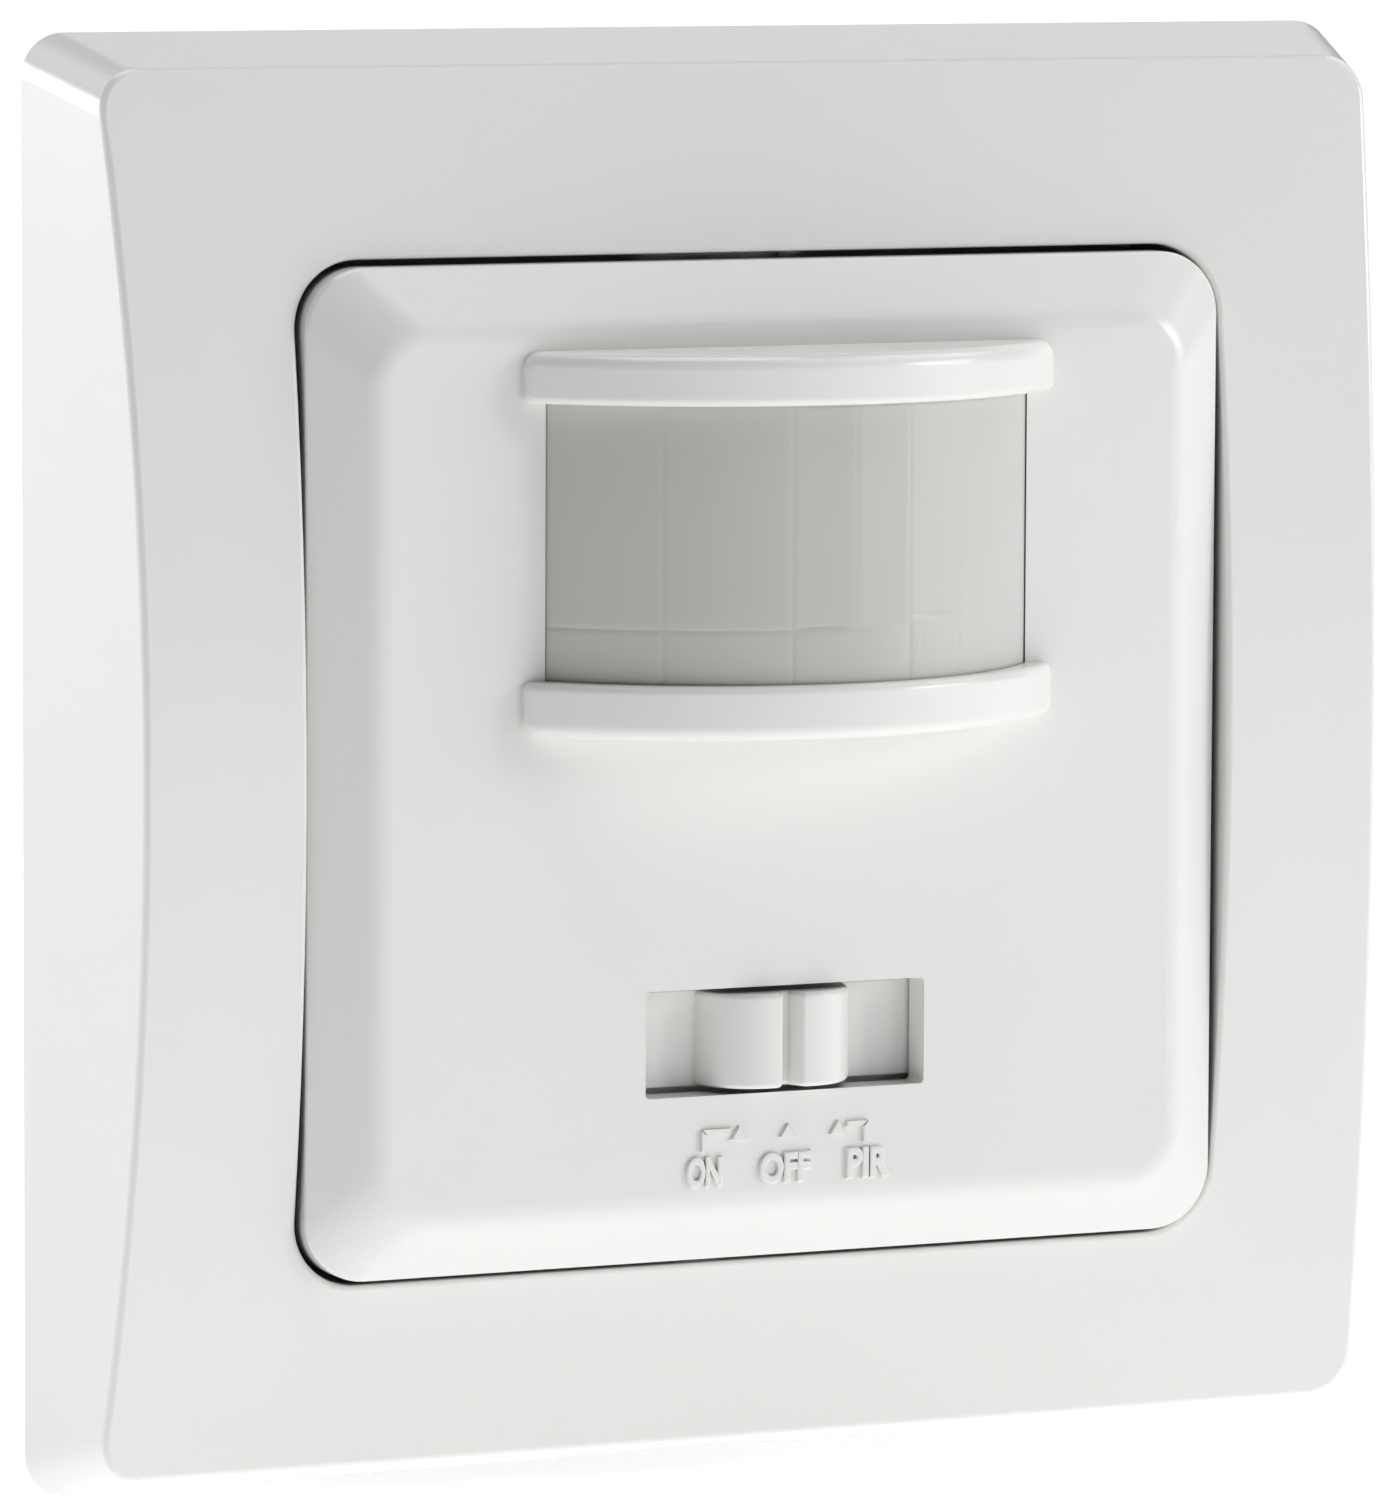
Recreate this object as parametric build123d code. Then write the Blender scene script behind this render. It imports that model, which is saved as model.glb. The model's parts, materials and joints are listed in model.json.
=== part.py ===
from build123d import *
import math
import os

# Motion sensor light switch for a 60 mm wall box: a square cover frame, a clip-on centre plate with a
# pyroelectric sensor behind a curved Fresnel lens, and a three-place slide knob (on, off, automatic).
# Frame of reference: +X to the right, +Z up, the viewer stands at -Y. The wall surface is the plane
# Y = 0 and the origin is the middle of the two box screws. "Reach" is a distance in front of the wall
# (towards -Y) and "depth" is a distance behind it (towards +Y).

# General clearances
seat_gap = 0.2
slide_gap = 0.15
overrun = 1.0
place_tolerance = 0.01

# Wall box interface, shared by the steel plate, the cover frame and the centre plate
box_screw_spacing = 60.0
box_hole_radius = 2.1
box_slot_length = 9.0
screw_pocket_width = 9.2
screw_pocket_length = 14.0
screw_pocket_reach = 4.0

# Steel support plate
steel_margin = 4.5
steel_corner = 8.0
steel_thickness = 1.0
steel_opening_margin = 4.8
steel_opening_side_margin = 1.8
ear_thickness = 1.0
ear_width = 5.6
ear_depth = 15.6
ear_inner_x = 19.9
notch_width = 12.0
notch_depth = 1.4

# Centre plate
plate_side = 55.1
plate_corner = 3.5
plate_edge_reach = 10.0
plate_face_reach = 12.4
plate_face_side = 48.4
plate_face_corner = 3.2
plate_border_round = 0.3
plate_face_round = 2.2
plate_skirt_wall = 1.6
plate_wall = 1.9

# Cover frame
frame_side = 80.0
frame_corner = 2.4
frame_reach_middle = 11.27
frame_reach_end = 6.41
frame_side_draft_share = 0.244
frame_top_draft_share = 0.263
frame_wall = 2.0
frame_edge_round = 0.4
frame_gap = 0.35
opening_round = 0.3
rim_wall = 1.5
ledge_width = 1.7
ledge_thickness = 1.2
rib_thickness = 1.0
rib_pitch = 22.0
ribs_per_side = 3
pry_width = 9.0
pry_height = 1.3

# Sensor window in the centre plate, and its curved lens
window_middle_z = 12.65
window_height = 15.1
lens_chord = 28.84
lens_rise = 7.15
lens_thickness = 0.7
lens_side_gap = 0.1
lens_tuck = 0.9
tuck_gap = 0.1
lens_foot_width = 2.2
lens_foot_thickness = 0.8

# Arched brows above and below the lens
brow_chord = 31.8
brow_reach = 7.9
brow_end_step = 0.6
upper_brow_height = 2.8
lower_brow_height = 3.0
brow_end_round = 1.0
brow_outer_round = 0.8
brow_inner_round = 0.45

# Lens retainer behind the centre plate, held on four staked pins
retainer_thickness = 1.0
retainer_side_gap = 2.08
retainer_end_margin = 2.2
retainer_corner = 1.5
shroud_wall = 1.0
shroud_inset = 1.3
shroud_end_reach = 4.6
pin_radius = 0.8
pin_inset = 1.8
pin_head_radius = 1.35
pin_head_height = 0.7

# Slide knob and its shutter
knob_middle_z = -15.15
slot_width = 16.9
slot_height = 5.9
slot_corner = 0.25
knob_travel = 3.7
knob_stop_gap = 0.2
knob_height_gap = 0.32
knob_proud = 0.95
lobe_shoulder_width = 1.15
lobe_shoulder_drop = 0.75
groove_width = 1.3
groove_floor_width = 0.3
groove_depth = 1.0
crest_round = 0.2
knob_round = 0.3
shutter_thickness = 1.2
shutter_side_margin = 1.2
shutter_cover = 0.6
dust_groove_cover = 0.35
dust_groove_depth = 0.6
guide_thickness = 1.0
guide_lip = 0.7
guide_length = 30.0
stem_width = 6.0
stem_height = 5.0
stem_length = 4.2

# Slide switch on the sensor board
switch_width = 13.0
switch_height = 6.6
switch_rise = 4.8
switch_skin = 0.3
switch_base_thickness = 1.4
lever_width = 2.4
lever_height = 3.0
lever_foot_width = 4.0
lever_foot_thickness = 1.0
lever_rise = 4.6
lever_gap = 0.1
lever_tip_gap = 0.4
switch_pin_count = 4
switch_pin_pitch = 3.0
switch_pin_radius = 0.3
switch_pin_row = 4.4

# Plastic housing: front tray, rear box and the four screws that clamp the steel plate between them
tray_side_gap = 1.6
tray_corner = 5.0
tray_thickness = 1.6
spigot_wall = 1.3
spigot_gap = 0.3
spigot_depth = 2.0
tray_hole_gap = 0.5
collar_gap = 0.6
collar_wall = 1.0
collar_end_reach = 7.4
claw_notch_half_height = 3.4
claw_notch_x = 21.2
catch_width = 5.0
catch_z = 13.0
catch_inner_x = 21.2
catch_neck_x = 23.0
catch_ledge_x = 23.8
catch_top_reach = 5.6
catch_ledge_reach = 4.4
hook_thickness = 1.2
hook_width = 4.4
hook_tip_height = 1.0
hook_bite = 0.5
housing_radius = 26.0
housing_half_width = 19.5
housing_depth = 29.0
housing_wall = 1.8
housing_round = 1.6
boss_radius = 2.2
boss_depth = 12.0
boss_hole_radius = 1.15
housing_screw_inset = 2.4
housing_screw_angle = 68.0
housing_screw_radius = 1.1
housing_screw_hole_radius = 1.45
housing_screw_length = 11.0
housing_head_radius = 2.3
housing_head_height = 1.5
drive_width = 0.7
drive_depth = 0.8

# Claws that grip the wall box, one on each side
claw_pivot_x = 21.0
claw_pivot_depth = 14.0
claw_pivot_radius = 0.75
claw_pivot_gap = 0.06
claw_height = 6.0
claw_side_gap = 0.25
claw_thickness = 1.2
claw_outer_x = 28.2
claw_leg_depth = 23.0
claw_tooth_reach = 0.9
claw_tooth_count = 3
claw_tooth_pitch = 2.0
claw_tooth_width = 1.0
claw_hole_half_length = 2.3
claw_hole_half_width = 1.95
claw_hole_shift = 0.25
claw_screw_x = 24.2
claw_screw_radius = 1.75
claw_screw_hole_radius = 2.0
claw_screw_length = 20.0
claw_head_radius = 2.6
claw_head_height = 1.8

# Circuit boards
board_thickness = 1.6
sensor_board_lap = 0.2
board_side_gap = 0.3
power_board_depth = 16.0
board_boss_gap = 0.4
spacer_radius = 2.2
spacer_hole_radius = 1.1
spacer_x = 14.6
spacer_low_z = -11.0
spacer_high_z = 11.5
post_radius = 1.6

# Parts on the sensor board
pir_radius = 4.1
pir_flange_radius = 4.6
pir_flange_height = 0.6
pir_height = 4.3
pir_wall = 0.3
pir_round = 0.4
pir_window_width = 4.0
pir_window_height = 3.0
pir_window_thickness = 0.5
pir_base_thickness = 0.8
pir_lead_circle = 2.54
pir_lead_radius = 0.23
pir_lead_angles_share = (0.125, 0.375, 0.625)
lead_tail = 1.4
photocell_x = -9.2
photocell_z = 10.6
photocell_radius = 2.5
photocell_cut = 0.45
photocell_thickness = 2.0
photocell_rise = 2.6
photocell_lead_spacing = 3.4
trimmer_x = 12.6
trimmer_z = -3.4
trimmer_side = 6.5
trimmer_height = 2.8
trimmer_well_depth = 1.4
rotor_radius = 2.5
rotor_gap = 0.08
rotor_height = 2.0
rotor_slot_width = 0.8
rotor_slot_length = 3.4
rotor_slot_depth = 0.9
pointer_radius = 0.45
chip_length = 9.8
chip_width = 4.0
chip_height = 1.6
chip_x = 1.0
chip_z = -5.0
chip_leg_count = 7
chip_leg_pitch = 1.27
chip_leg_width = 0.45
chip_leg_reach = 1.0
chip_leg_thickness = 0.3
header_x = -4.6
header_z = -9.6
header_pin_count = 6
header_pin_spacing = 2.54
header_pin_half_side = 0.32
header_body_height = 2.5
header_body_width = 2.5

# Parts on the power board
relay_width = 20.5
relay_height = 10.2
relay_rise = 10.6
relay_z = 12.6
relay_round = 0.5
film_cap_width = 17.5
film_cap_height = 6.5
film_cap_rise = 11.4
film_cap_x = 3.4
film_cap_z = 1.6
round_cap_radius = 4.0
round_cap_rise = 11.4
round_cap_x = -11.4
round_cap_z = 0.4
round_cap_groove = 0.4
round_cap_groove_rise = 1.6
rectifier_width = 8.3
rectifier_height = 6.4
rectifier_rise = 3.3
rectifier_x = 8.2
rectifier_z = -9.0
resistor_radius = 1.2
resistor_length = 6.4
resistor_lead_radius = 0.35
resistor_lead_span = 10.0
resistor_count = 3
resistor_pitch = 3.4
resistor_x = -6.4
resistor_z = -12.8
varistor_radius = 4.4
varistor_thickness = 3.6
varistor_x = -6.0
varistor_z = 5.0
varistor_lead_spacing = 5.0
regulator_radius = 2.4
regulator_flat = 1.3
regulator_rise = 4.8
regulator_stand = 2.0
regulator_x = 6.0
regulator_z = 2.0
fuse_radius = 1.9
fuse_length = 9.0
fuse_lead_span = 12.0
fuse_x = 7.0
fuse_z = 9.6

# Terminal block with three rising-cage clamps
pole_names = ("line", "neutral", "load")
pole_pitch = 6.5
block_width = 20.4
block_edge_inset = 4.4
block_height = 9.2
block_depth_end = 28.0
block_floor = 1.0
block_round = 0.4
block_gap = 0.2
cage_width = 4.6
cage_height = 4.2
cage_wall = 0.8
cage_gap = 0.12
cage_inset = 4.7
wire_space = 2.6
cage_travel = 2.1
bar_thickness = 0.7
bar_width = 2.6
bar_gap = 0.1
wire_hole_radius = 1.3
terminal_screw_radius = 1.2
terminal_thread_gap = 0.06
terminal_head_radius = 1.9
terminal_head_height = 1.4
terminal_head_gap = 0.2
terminal_well_radius = 2.1


# Worked out from the sizes above

opening_side = plate_side + 2 * frame_gap
opening_corner = plate_corner + frame_gap
ledge_side = opening_side - 2 * ledge_width
steel_side = frame_side - 2 * steel_margin
tray_side = ledge_side - 2 * tray_side_gap
arch_rise = frame_reach_middle - frame_reach_end
arch_radius = ((frame_side / 2) ** 2 + arch_rise**2) / (2 * arch_rise)
ledge_reach = steel_thickness + seat_gap + ledge_thickness
plate_foot_reach = ledge_reach + seat_gap
plate_back_reach = plate_face_reach - plate_wall
window_low_z = window_middle_z - window_height / 2
window_high_z = window_middle_z + window_height / 2
window_width = lens_chord + 2 * lens_side_gap
lens_radius = ((lens_chord / 2) ** 2 + lens_rise**2) / (2 * lens_rise)
lens_axis_reach = plate_face_reach + lens_rise - lens_radius
brow_rise = brow_reach - brow_end_step
brow_radius = ((brow_chord / 2) ** 2 + brow_rise**2) / (2 * brow_rise)
brow_axis_reach = plate_face_reach + brow_reach - brow_radius
lens_foot_reach = plate_back_reach - tuck_gap
lens_back_reach = lens_foot_reach - lens_foot_thickness
retainer_front_reach = lens_back_reach - tuck_gap
retainer_back_reach = retainer_front_reach - retainer_thickness
retainer_width = plate_face_side - 2 * (plate_wall + retainer_side_gap)
retainer_height = window_height + 2 * (lens_tuck + retainer_end_margin)
shroud_width = window_width - 2 * shroud_inset
shroud_height = window_height - 2 * shroud_inset
pin_x = retainer_width / 2 - pin_inset
pin_z = retainer_height / 2 - pin_inset
knob_height = slot_height - 2 * knob_height_gap
knob_width = slot_width - 2 * (knob_travel + knob_stop_gap)
shutter_front_reach = plate_back_reach - seat_gap
shutter_back_reach = shutter_front_reach - shutter_thickness
shutter_width = slot_width + 2 * (knob_travel + shutter_cover)
shutter_height = slot_height + 2 * shutter_side_margin
stem_end_reach = shutter_back_reach - stem_length
tray_front_reach = steel_thickness + tray_thickness
switch_front_reach = switch_rise - spigot_depth
lever_tip_reach = switch_front_reach + lever_rise
board_front_depth = spigot_depth
board_back_depth = board_front_depth + board_thickness
power_board_back = power_board_depth + board_thickness
collar_width = shroud_width - 2 * collar_gap
collar_height = shroud_height - 2 * collar_gap
housing_screw_circle = housing_radius - housing_screw_inset
screw_place_x = housing_screw_circle * math.cos(math.radians(housing_screw_angle))
screw_place_z = housing_screw_circle * math.sin(math.radians(housing_screw_angle))
steel_opening_radius = housing_radius - steel_opening_margin
steel_opening_half_width = housing_half_width - steel_opening_side_margin
spigot_radius = steel_opening_radius - spigot_gap
spigot_half_width = steel_opening_half_width - spigot_gap
sensor_board_radius = spigot_radius + sensor_board_lap
housing_inner_radius = housing_radius - housing_wall
housing_inner_half_width = housing_half_width - housing_wall
housing_floor_depth = housing_depth - housing_wall
board_half_width = housing_inner_half_width - board_side_gap
power_board_radius = housing_inner_radius - board_side_gap
block_low_z = block_edge_inset - housing_radius
block_high_z = block_low_z + block_height
cage_z = block_low_z + cage_inset
cage_start_depth = power_board_back + block_floor
wire_start_depth = cage_start_depth + cage_wall
bar_start_depth = wire_start_depth + wire_space
cage_top_start = bar_start_depth + bar_thickness + bar_gap
cage_end_depth = cage_top_start + cage_wall
terminal_head_depth = cage_end_depth + cage_travel + terminal_head_gap


def facing(depth):
    """Drawing plane at a depth: drawn x is +X, drawn y is +Z, and it faces the viewer."""
    return Plane(origin=(0, depth, 0), x_dir=(1, 0, 0), z_dir=(0, -1, 0))


def slab(outline, front, back):
    """An outline in X and Z, made solid from the depth `front` to the depth `back`."""
    return extrude(facing(back) * outline, back - front)


def prism(outline, low, high):
    """An outline in X and Y, made solid from the height `low` to the height `high`."""
    return extrude(Pos(0, 0, low) * outline, high - low)


def block(x, z, width, height, front, back):
    """A box centred on x and z, between two depths."""
    return slab(Pos(x, z) * Rectangle(width, height), front, back)


def disc(x, z, radius, front, back):
    """A round bar along Y, between two depths."""
    return slab(Pos(x, z) * Circle(radius), front, back)


def rod_x(middle, radius, length):
    """A round bar along X about a middle point."""
    return Pos(*middle) * (Rot(0, 90, 0) * Cylinder(radius, length))


def rod_z(middle, radius, length):
    """A round bar along Z about a middle point."""
    return Pos(*middle) * Cylinder(radius, length)


def rounded(width, height, corner):
    """A rectangle with round corners, in X and Z."""
    return RectangleRounded(width, height, corner)


def flat_sided(radius, half_width):
    """A circle with a flat on its left and on its right."""
    return Circle(radius) & Rectangle(2 * half_width, 2 * radius)


def four_places(x, z):
    """The same place in each of the four quarters."""
    return [(sx * x, sz * z) for sx in (-1, 1) for sz in (-1, 1)]


def one_solid(shape):
    """The shape as one plain solid."""
    return shape.solids().sort_by(SortBy.VOLUME)[-1]


# Cover frame

def drafted_block(inset, reach):
    """The frame's tapered outside, drawn in by `inset` all round, up to a reach."""
    base_side = frame_side - 2 * inset
    corner = max(frame_corner - inset, frame_edge_round)
    top_width = base_side - 2 * frame_side_draft_share * reach
    top_height = base_side - 2 * frame_top_draft_share * reach
    base = facing(0) * rounded(base_side, base_side, corner)
    top = facing(-reach) * rounded(top_width, top_height, corner)
    return loft([base, top], ruled=True)


def arched_bar(inset):
    """A bar along X whose front is the frame's arch, drawn in by `inset`."""
    middle = (0, arch_radius - frame_reach_middle, 0)
    return rod_x(middle, arch_radius - inset, 2 * frame_side)


def screw_pockets(reach):
    """Room for the heads of the box screws on all four sides, up to a reach."""
    pockets = []
    for angle in (0, 90, 180, 270):
        pocket = block(box_screw_spacing / 2, 0, screw_pocket_length, screw_pocket_width, -reach, overrun)
        pockets.append(Rot(0, angle, 0) * pocket)
    return pockets


def frame_ribs():
    """Stiffening ribs from the outer wall to the rim, three on each side."""
    outer = frame_side / 2 - frame_wall / 2
    inner = opening_side / 2 + rim_wall / 2
    front = -frame_reach_middle
    back = -(steel_thickness + ledge_thickness)
    ribs = []
    for angle in (0, 90, 180, 270):
        for step in range(ribs_per_side):
            offset = (step - (ribs_per_side - 1) / 2) * rib_pitch
            rib = block((outer + inner) / 2, offset, outer - inner, rib_thickness, front, back)
            ribs.append(Rot(0, angle, 0) * rib)
    return ribs


def make_front_frame():
    """Arched, drafted shell with a rim, a clamping ledge and ribs behind."""
    top = frame_reach_middle + overrun
    body = one_solid(drafted_block(0, top) & arched_bar(0))
    body = fillet(body.faces().sort_by(Axis.Y)[0].edges(), frame_edge_round)
    hollow = one_solid(drafted_block(frame_wall, top) & arched_bar(frame_wall))
    rim_side = opening_side + 2 * rim_wall
    hollow -= slab(rounded(rim_side, rim_side, opening_corner + rim_wall), -top, overrun)
    for rib in frame_ribs():
        hollow -= rib
    shell = body - hollow
    shell -= slab(rounded(opening_side, opening_side, opening_corner), -top, -ledge_reach)
    shell = one_solid(shell)
    lip = shell.faces().sort_by(Axis.Y)[0].inner_wires()[0].edges()
    shell = fillet(lip, opening_round)
    shell -= slab(rounded(ledge_side, ledge_side, plate_corner), -top, overrun)
    foot = rim_side + 2 * rib_thickness
    shell -= slab(rounded(foot, foot, opening_corner), -(steel_thickness + seat_gap), overrun)
    for pocket in screw_pockets(screw_pocket_reach):
        shell -= pocket
    pry = block(0, -frame_side / 2, pry_width, 2 * frame_wall + overrun, -pry_height, overrun)
    return one_solid(shell - pry)


# Centre plate

def dished_block(side, corner, edge_reach, face_side, face_corner, face_reach, back_reach):
    """A square block whose front narrows to a smaller flat face."""
    skirt = slab(rounded(side, side, corner), -edge_reach, -back_reach)
    base = facing(-edge_reach) * rounded(side, side, corner)
    face = facing(-face_reach) * rounded(face_side, face_side, face_corner)
    return skirt + loft([base, face], ruled=True)


def edges_at_reach(shape, reach):
    """The edges that lie wholly at one reach."""
    found = []
    for edge in shape.edges():
        box = edge.bounding_box()
        if max(abs(box.min.Y + reach), abs(box.max.Y + reach)) < place_tolerance:
            found.append(edge)
    return found


def arc_outline(radius, axis_reach, half_chord, back_reach):
    """Plan of a bulge: an arc in front, straight sides and a flat back."""
    bulge = Pos(0, -axis_reach) * Circle(radius)
    length = axis_reach + radius - back_reach
    strip = Pos(0, -back_reach - length / 2) * Rectangle(2 * half_chord, length)
    return bulge & strip


def front_edges(brow):
    """The edges of a brow that stand in front of the plate's face."""
    return [edge for edge in brow.edges() if edge.center().Y < -plate_face_reach - brow_end_step / 2]


def make_brow(inner_z, outer_z):
    """One arched brow, rounded in front, and more so along its ends and the side away from the lens."""
    outline = arc_outline(brow_radius, brow_axis_reach, brow_chord / 2, plate_back_reach + plate_wall / 2)
    brow = one_solid(prism(outline, min(inner_z, outer_z), max(inner_z, outer_z)))
    along = brow.edges().filter_by(Axis.Y)
    ends = [edge for edge in along if abs(edge.center().Z - outer_z) < place_tolerance]
    brow = fillet(ends, brow_end_round)
    outer = [edge for edge in front_edges(brow) if abs(edge.center().Z - inner_z) > place_tolerance]
    brow = fillet(outer, brow_outer_round)
    inner = [edge for edge in front_edges(brow) if abs(edge.center().Z - inner_z) < place_tolerance]
    return fillet(inner, brow_inner_round)


def brow_set():
    """The two brows, above and below the sensor window."""
    upper = make_brow(window_high_z, window_high_z + upper_brow_height)
    lower = make_brow(window_low_z, window_low_z - lower_brow_height)
    return [upper, lower]


def lens_pocket():
    """Room for the curved lens, reaching a little into both brows."""
    radius = lens_radius + lens_side_gap
    outline = arc_outline(radius, lens_axis_reach, window_width / 2, retainer_front_reach - overrun)
    tuck = lens_tuck + tuck_gap
    return prism(outline, window_low_z - tuck, window_high_z + tuck)


def slider_guides():
    """Two L-shaped rails behind the plate that carry the shutter."""
    rails = []
    rail_reach = shutter_back_reach - slide_gap
    lip_reach = rail_reach - guide_thickness
    edge = shutter_height / 2 + slide_gap
    for side in (-1, 1):
        wall_z = knob_middle_z + side * (edge + guide_thickness / 2)
        lip_z = knob_middle_z + side * (edge + guide_thickness / 2 - guide_lip / 2)
        rails.append(block(0, wall_z, guide_length, guide_thickness, -plate_back_reach, -lip_reach))
        rails.append(block(0, lip_z, guide_length, guide_thickness + guide_lip, -rail_reach, -lip_reach))
    return rails


def plate_hooks():
    """Four spring hooks that clip the plate to the tray's catches."""
    hooks = []
    root = plate_back_reach
    tip_reach = catch_ledge_reach - seat_gap
    arm_x = catch_ledge_x + seat_gap + hook_thickness / 2
    for x, z in four_places(arm_x, catch_z):
        side = math.copysign(1, x)
        low = tip_reach - hook_tip_height
        arm = block(x, z, hook_thickness, hook_width, -root, -low)
        bite_x = x - side * (hook_thickness + hook_bite) / 2
        bite = block(bite_x, z, hook_bite + seat_gap, hook_width, -tip_reach, -low)
        hooks.append(arm + bite)
    return hooks


def staked_pins():
    """Four pins behind the plate, headed over behind the lens retainer."""
    pins = []
    for x, z in four_places(pin_x, pin_z):
        shank = disc(x, window_middle_z + z, pin_radius, -plate_back_reach, -retainer_back_reach)
        head_end = retainer_back_reach - pin_head_height
        head = disc(x, window_middle_z + z, pin_head_radius, -retainer_back_reach, -head_end)
        pins.append(shank + head)
    return pins


def make_centre_plate():
    """Dished cover with two brows, the sensor window, the slider slot, rails, hooks and pins."""
    plate = dished_block(
        plate_side, plate_corner, plate_edge_reach, plate_face_side, plate_face_corner, plate_face_reach,
        plate_foot_reach,
    )
    plate = one_solid(plate)
    plate = fillet(edges_at_reach(plate, plate_face_reach), plate_face_round)
    plate = fillet(edges_at_reach(plate, plate_edge_reach), plate_border_round)
    inner_side = plate_side - 2 * plate_skirt_wall
    inner_face = plate_face_side - 2 * plate_wall
    plate -= dished_block(
        inner_side, plate_corner - plate_skirt_wall, plate_edge_reach - plate_wall, inner_face,
        plate_face_corner - plate_skirt_wall, plate_back_reach, 0,
    )
    for brow in brow_set():
        plate += brow
    plate -= lens_pocket()
    slot_outline = Pos(0, knob_middle_z) * rounded(slot_width, slot_height, slot_corner)
    plate -= slab(slot_outline, -plate_face_reach - overrun, -plate_back_reach + overrun)
    for piece in slider_guides() + plate_hooks() + staked_pins():
        plate += piece
    for pocket in screw_pockets(screw_pocket_reach):
        plate -= pocket
    return one_solid(plate)


# Lens and its retainer

def make_fresnel_lens():
    """Thin curved sheet with straight sides and two feet behind the plate."""
    half = lens_chord / 2
    low = window_low_z - lens_tuck
    high = window_high_z + lens_tuck
    outer = arc_outline(lens_radius, lens_axis_reach, half, lens_back_reach)
    inner_radius = lens_radius - lens_thickness
    inner = arc_outline(inner_radius, lens_axis_reach, half - lens_thickness, lens_back_reach - overrun)
    sheet = prism(outer - inner, low, high)
    foot_width = lens_foot_width + lens_thickness
    for side in (-1, 1):
        foot_x = side * (half - lens_thickness + foot_width / 2)
        foot = block(foot_x, window_middle_z, foot_width, window_height, -lens_foot_reach, -lens_back_reach)
        sheet += foot
    return one_solid(sheet)


def make_lens_retainer():
    """Flange that presses the lens feet home, with a light-tight shroud behind it."""
    flange = rounded(retainer_width, retainer_height, retainer_corner)
    for x, z in four_places(pin_x, pin_z):
        flange -= Pos(x, z) * Circle(pin_radius + tuck_gap)
    shroud_outer = rounded(shroud_width + 2 * shroud_wall, shroud_height + 2 * shroud_wall, retainer_corner)
    opening = rounded(shroud_width, shroud_height, retainer_corner - shroud_wall / 2)
    place = Pos(0, window_middle_z)
    body = slab(place * flange, -retainer_front_reach, -retainer_back_reach)
    body += slab(place * shroud_outer, -retainer_front_reach, -shroud_end_reach)
    tunnel = slab(place * opening, -retainer_front_reach - overrun, -shroud_end_reach + overrun)
    return one_solid(body - tunnel)


# Slide knob

def knob_outline():
    """Plan of the knob: two convex lobes with a finger groove between them."""
    base_y = -shutter_front_reach
    crest_y = -(plate_face_reach + knob_proud)
    half = knob_width / 2
    shoulder = (half - lobe_shoulder_width, crest_y + lobe_shoulder_drop)
    crest = (groove_width / 2, crest_y)
    floor = (groove_floor_width / 2, crest_y + groove_depth)
    right_lobe = ThreePointArc((half, base_y), shoulder, crest)
    right_flank = Line(crest, floor)
    groove_floor = Line(floor, (-floor[0], floor[1]))
    left_flank = Line((-floor[0], floor[1]), (-crest[0], crest[1]))
    left_lobe = ThreePointArc((-crest[0], crest[1]), (-shoulder[0], shoulder[1]), (-half, base_y))
    base = Line((-half, base_y), (half, base_y))
    plan = make_face(right_lobe + right_flank + groove_floor + left_flank + left_lobe + base)
    crests = [corner for corner in plan.vertices() if abs(corner.Y - crest_y) < place_tolerance]
    return fillet(crests, crest_round)


def shutter_plate(front, back):
    """Plate behind the slot, with a dust groove along each long edge of the slot."""
    plate = block(0, knob_middle_z, shutter_width, shutter_height, front, back)
    inner = knob_height / 2
    outer = slot_height / 2 + dust_groove_cover
    for side in (-1, 1):
        groove_z = knob_middle_z + side * (inner + outer) / 2
        floor = front + dust_groove_depth
        plate -= block(0, groove_z, shutter_width + overrun, outer - inner, front - overrun, floor)
    return plate


def make_slider_knob():
    """Knob, shutter plate and the stem that holds the switch lever."""
    low = knob_middle_z - knob_height / 2
    high = knob_middle_z + knob_height / 2
    knob = one_solid(prism(knob_outline(), low, high))
    ends = [
        edge
        for edge in knob.edges()
        if abs(edge.center().Z - knob_middle_z) > knob_height / 2 - knob_round
        and edge.bounding_box().min.Y < -shutter_front_reach - knob_round
    ]
    knob = fillet(ends, knob_round)
    front = -shutter_front_reach
    back = -shutter_back_reach
    knob += shutter_plate(front, back)
    knob += block(0, knob_middle_z, stem_width, stem_height, back, -stem_end_reach)
    pocket_reach = lever_tip_reach + lever_tip_gap
    pocket_width = lever_width + 2 * lever_gap
    pocket_height = lever_height + 2 * lever_gap
    knob -= block(0, knob_middle_z, pocket_width, pocket_height, -pocket_reach, -stem_end_reach + overrun)
    return one_solid(knob)


# Slide switch

def make_switch_can():
    """Folded metal cover of the slide switch, with the slot that the lever moves in."""
    can = block(0, knob_middle_z, switch_width, switch_height, -switch_front_reach, board_front_depth)
    inside_width = switch_width - 2 * switch_skin
    inside_height = switch_height - 2 * switch_skin
    inside_front = -switch_front_reach + switch_skin
    can -= block(0, knob_middle_z, inside_width, inside_height, inside_front, board_front_depth + overrun)
    slot_length = lever_width + 2 * (knob_travel + lever_gap)
    slot = block(0, knob_middle_z, slot_length, lever_height + 2 * lever_gap, inside_front - overrun, 0)
    return one_solid(can - slot)


def make_switch_base():
    """Insulating base of the slide switch, lying on the board."""
    width = switch_width - 2 * (switch_skin + tuck_gap)
    height = switch_height - 2 * (switch_skin + tuck_gap)
    front = board_front_depth - switch_base_thickness
    return one_solid(block(0, knob_middle_z, width, height, front, board_front_depth))


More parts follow.
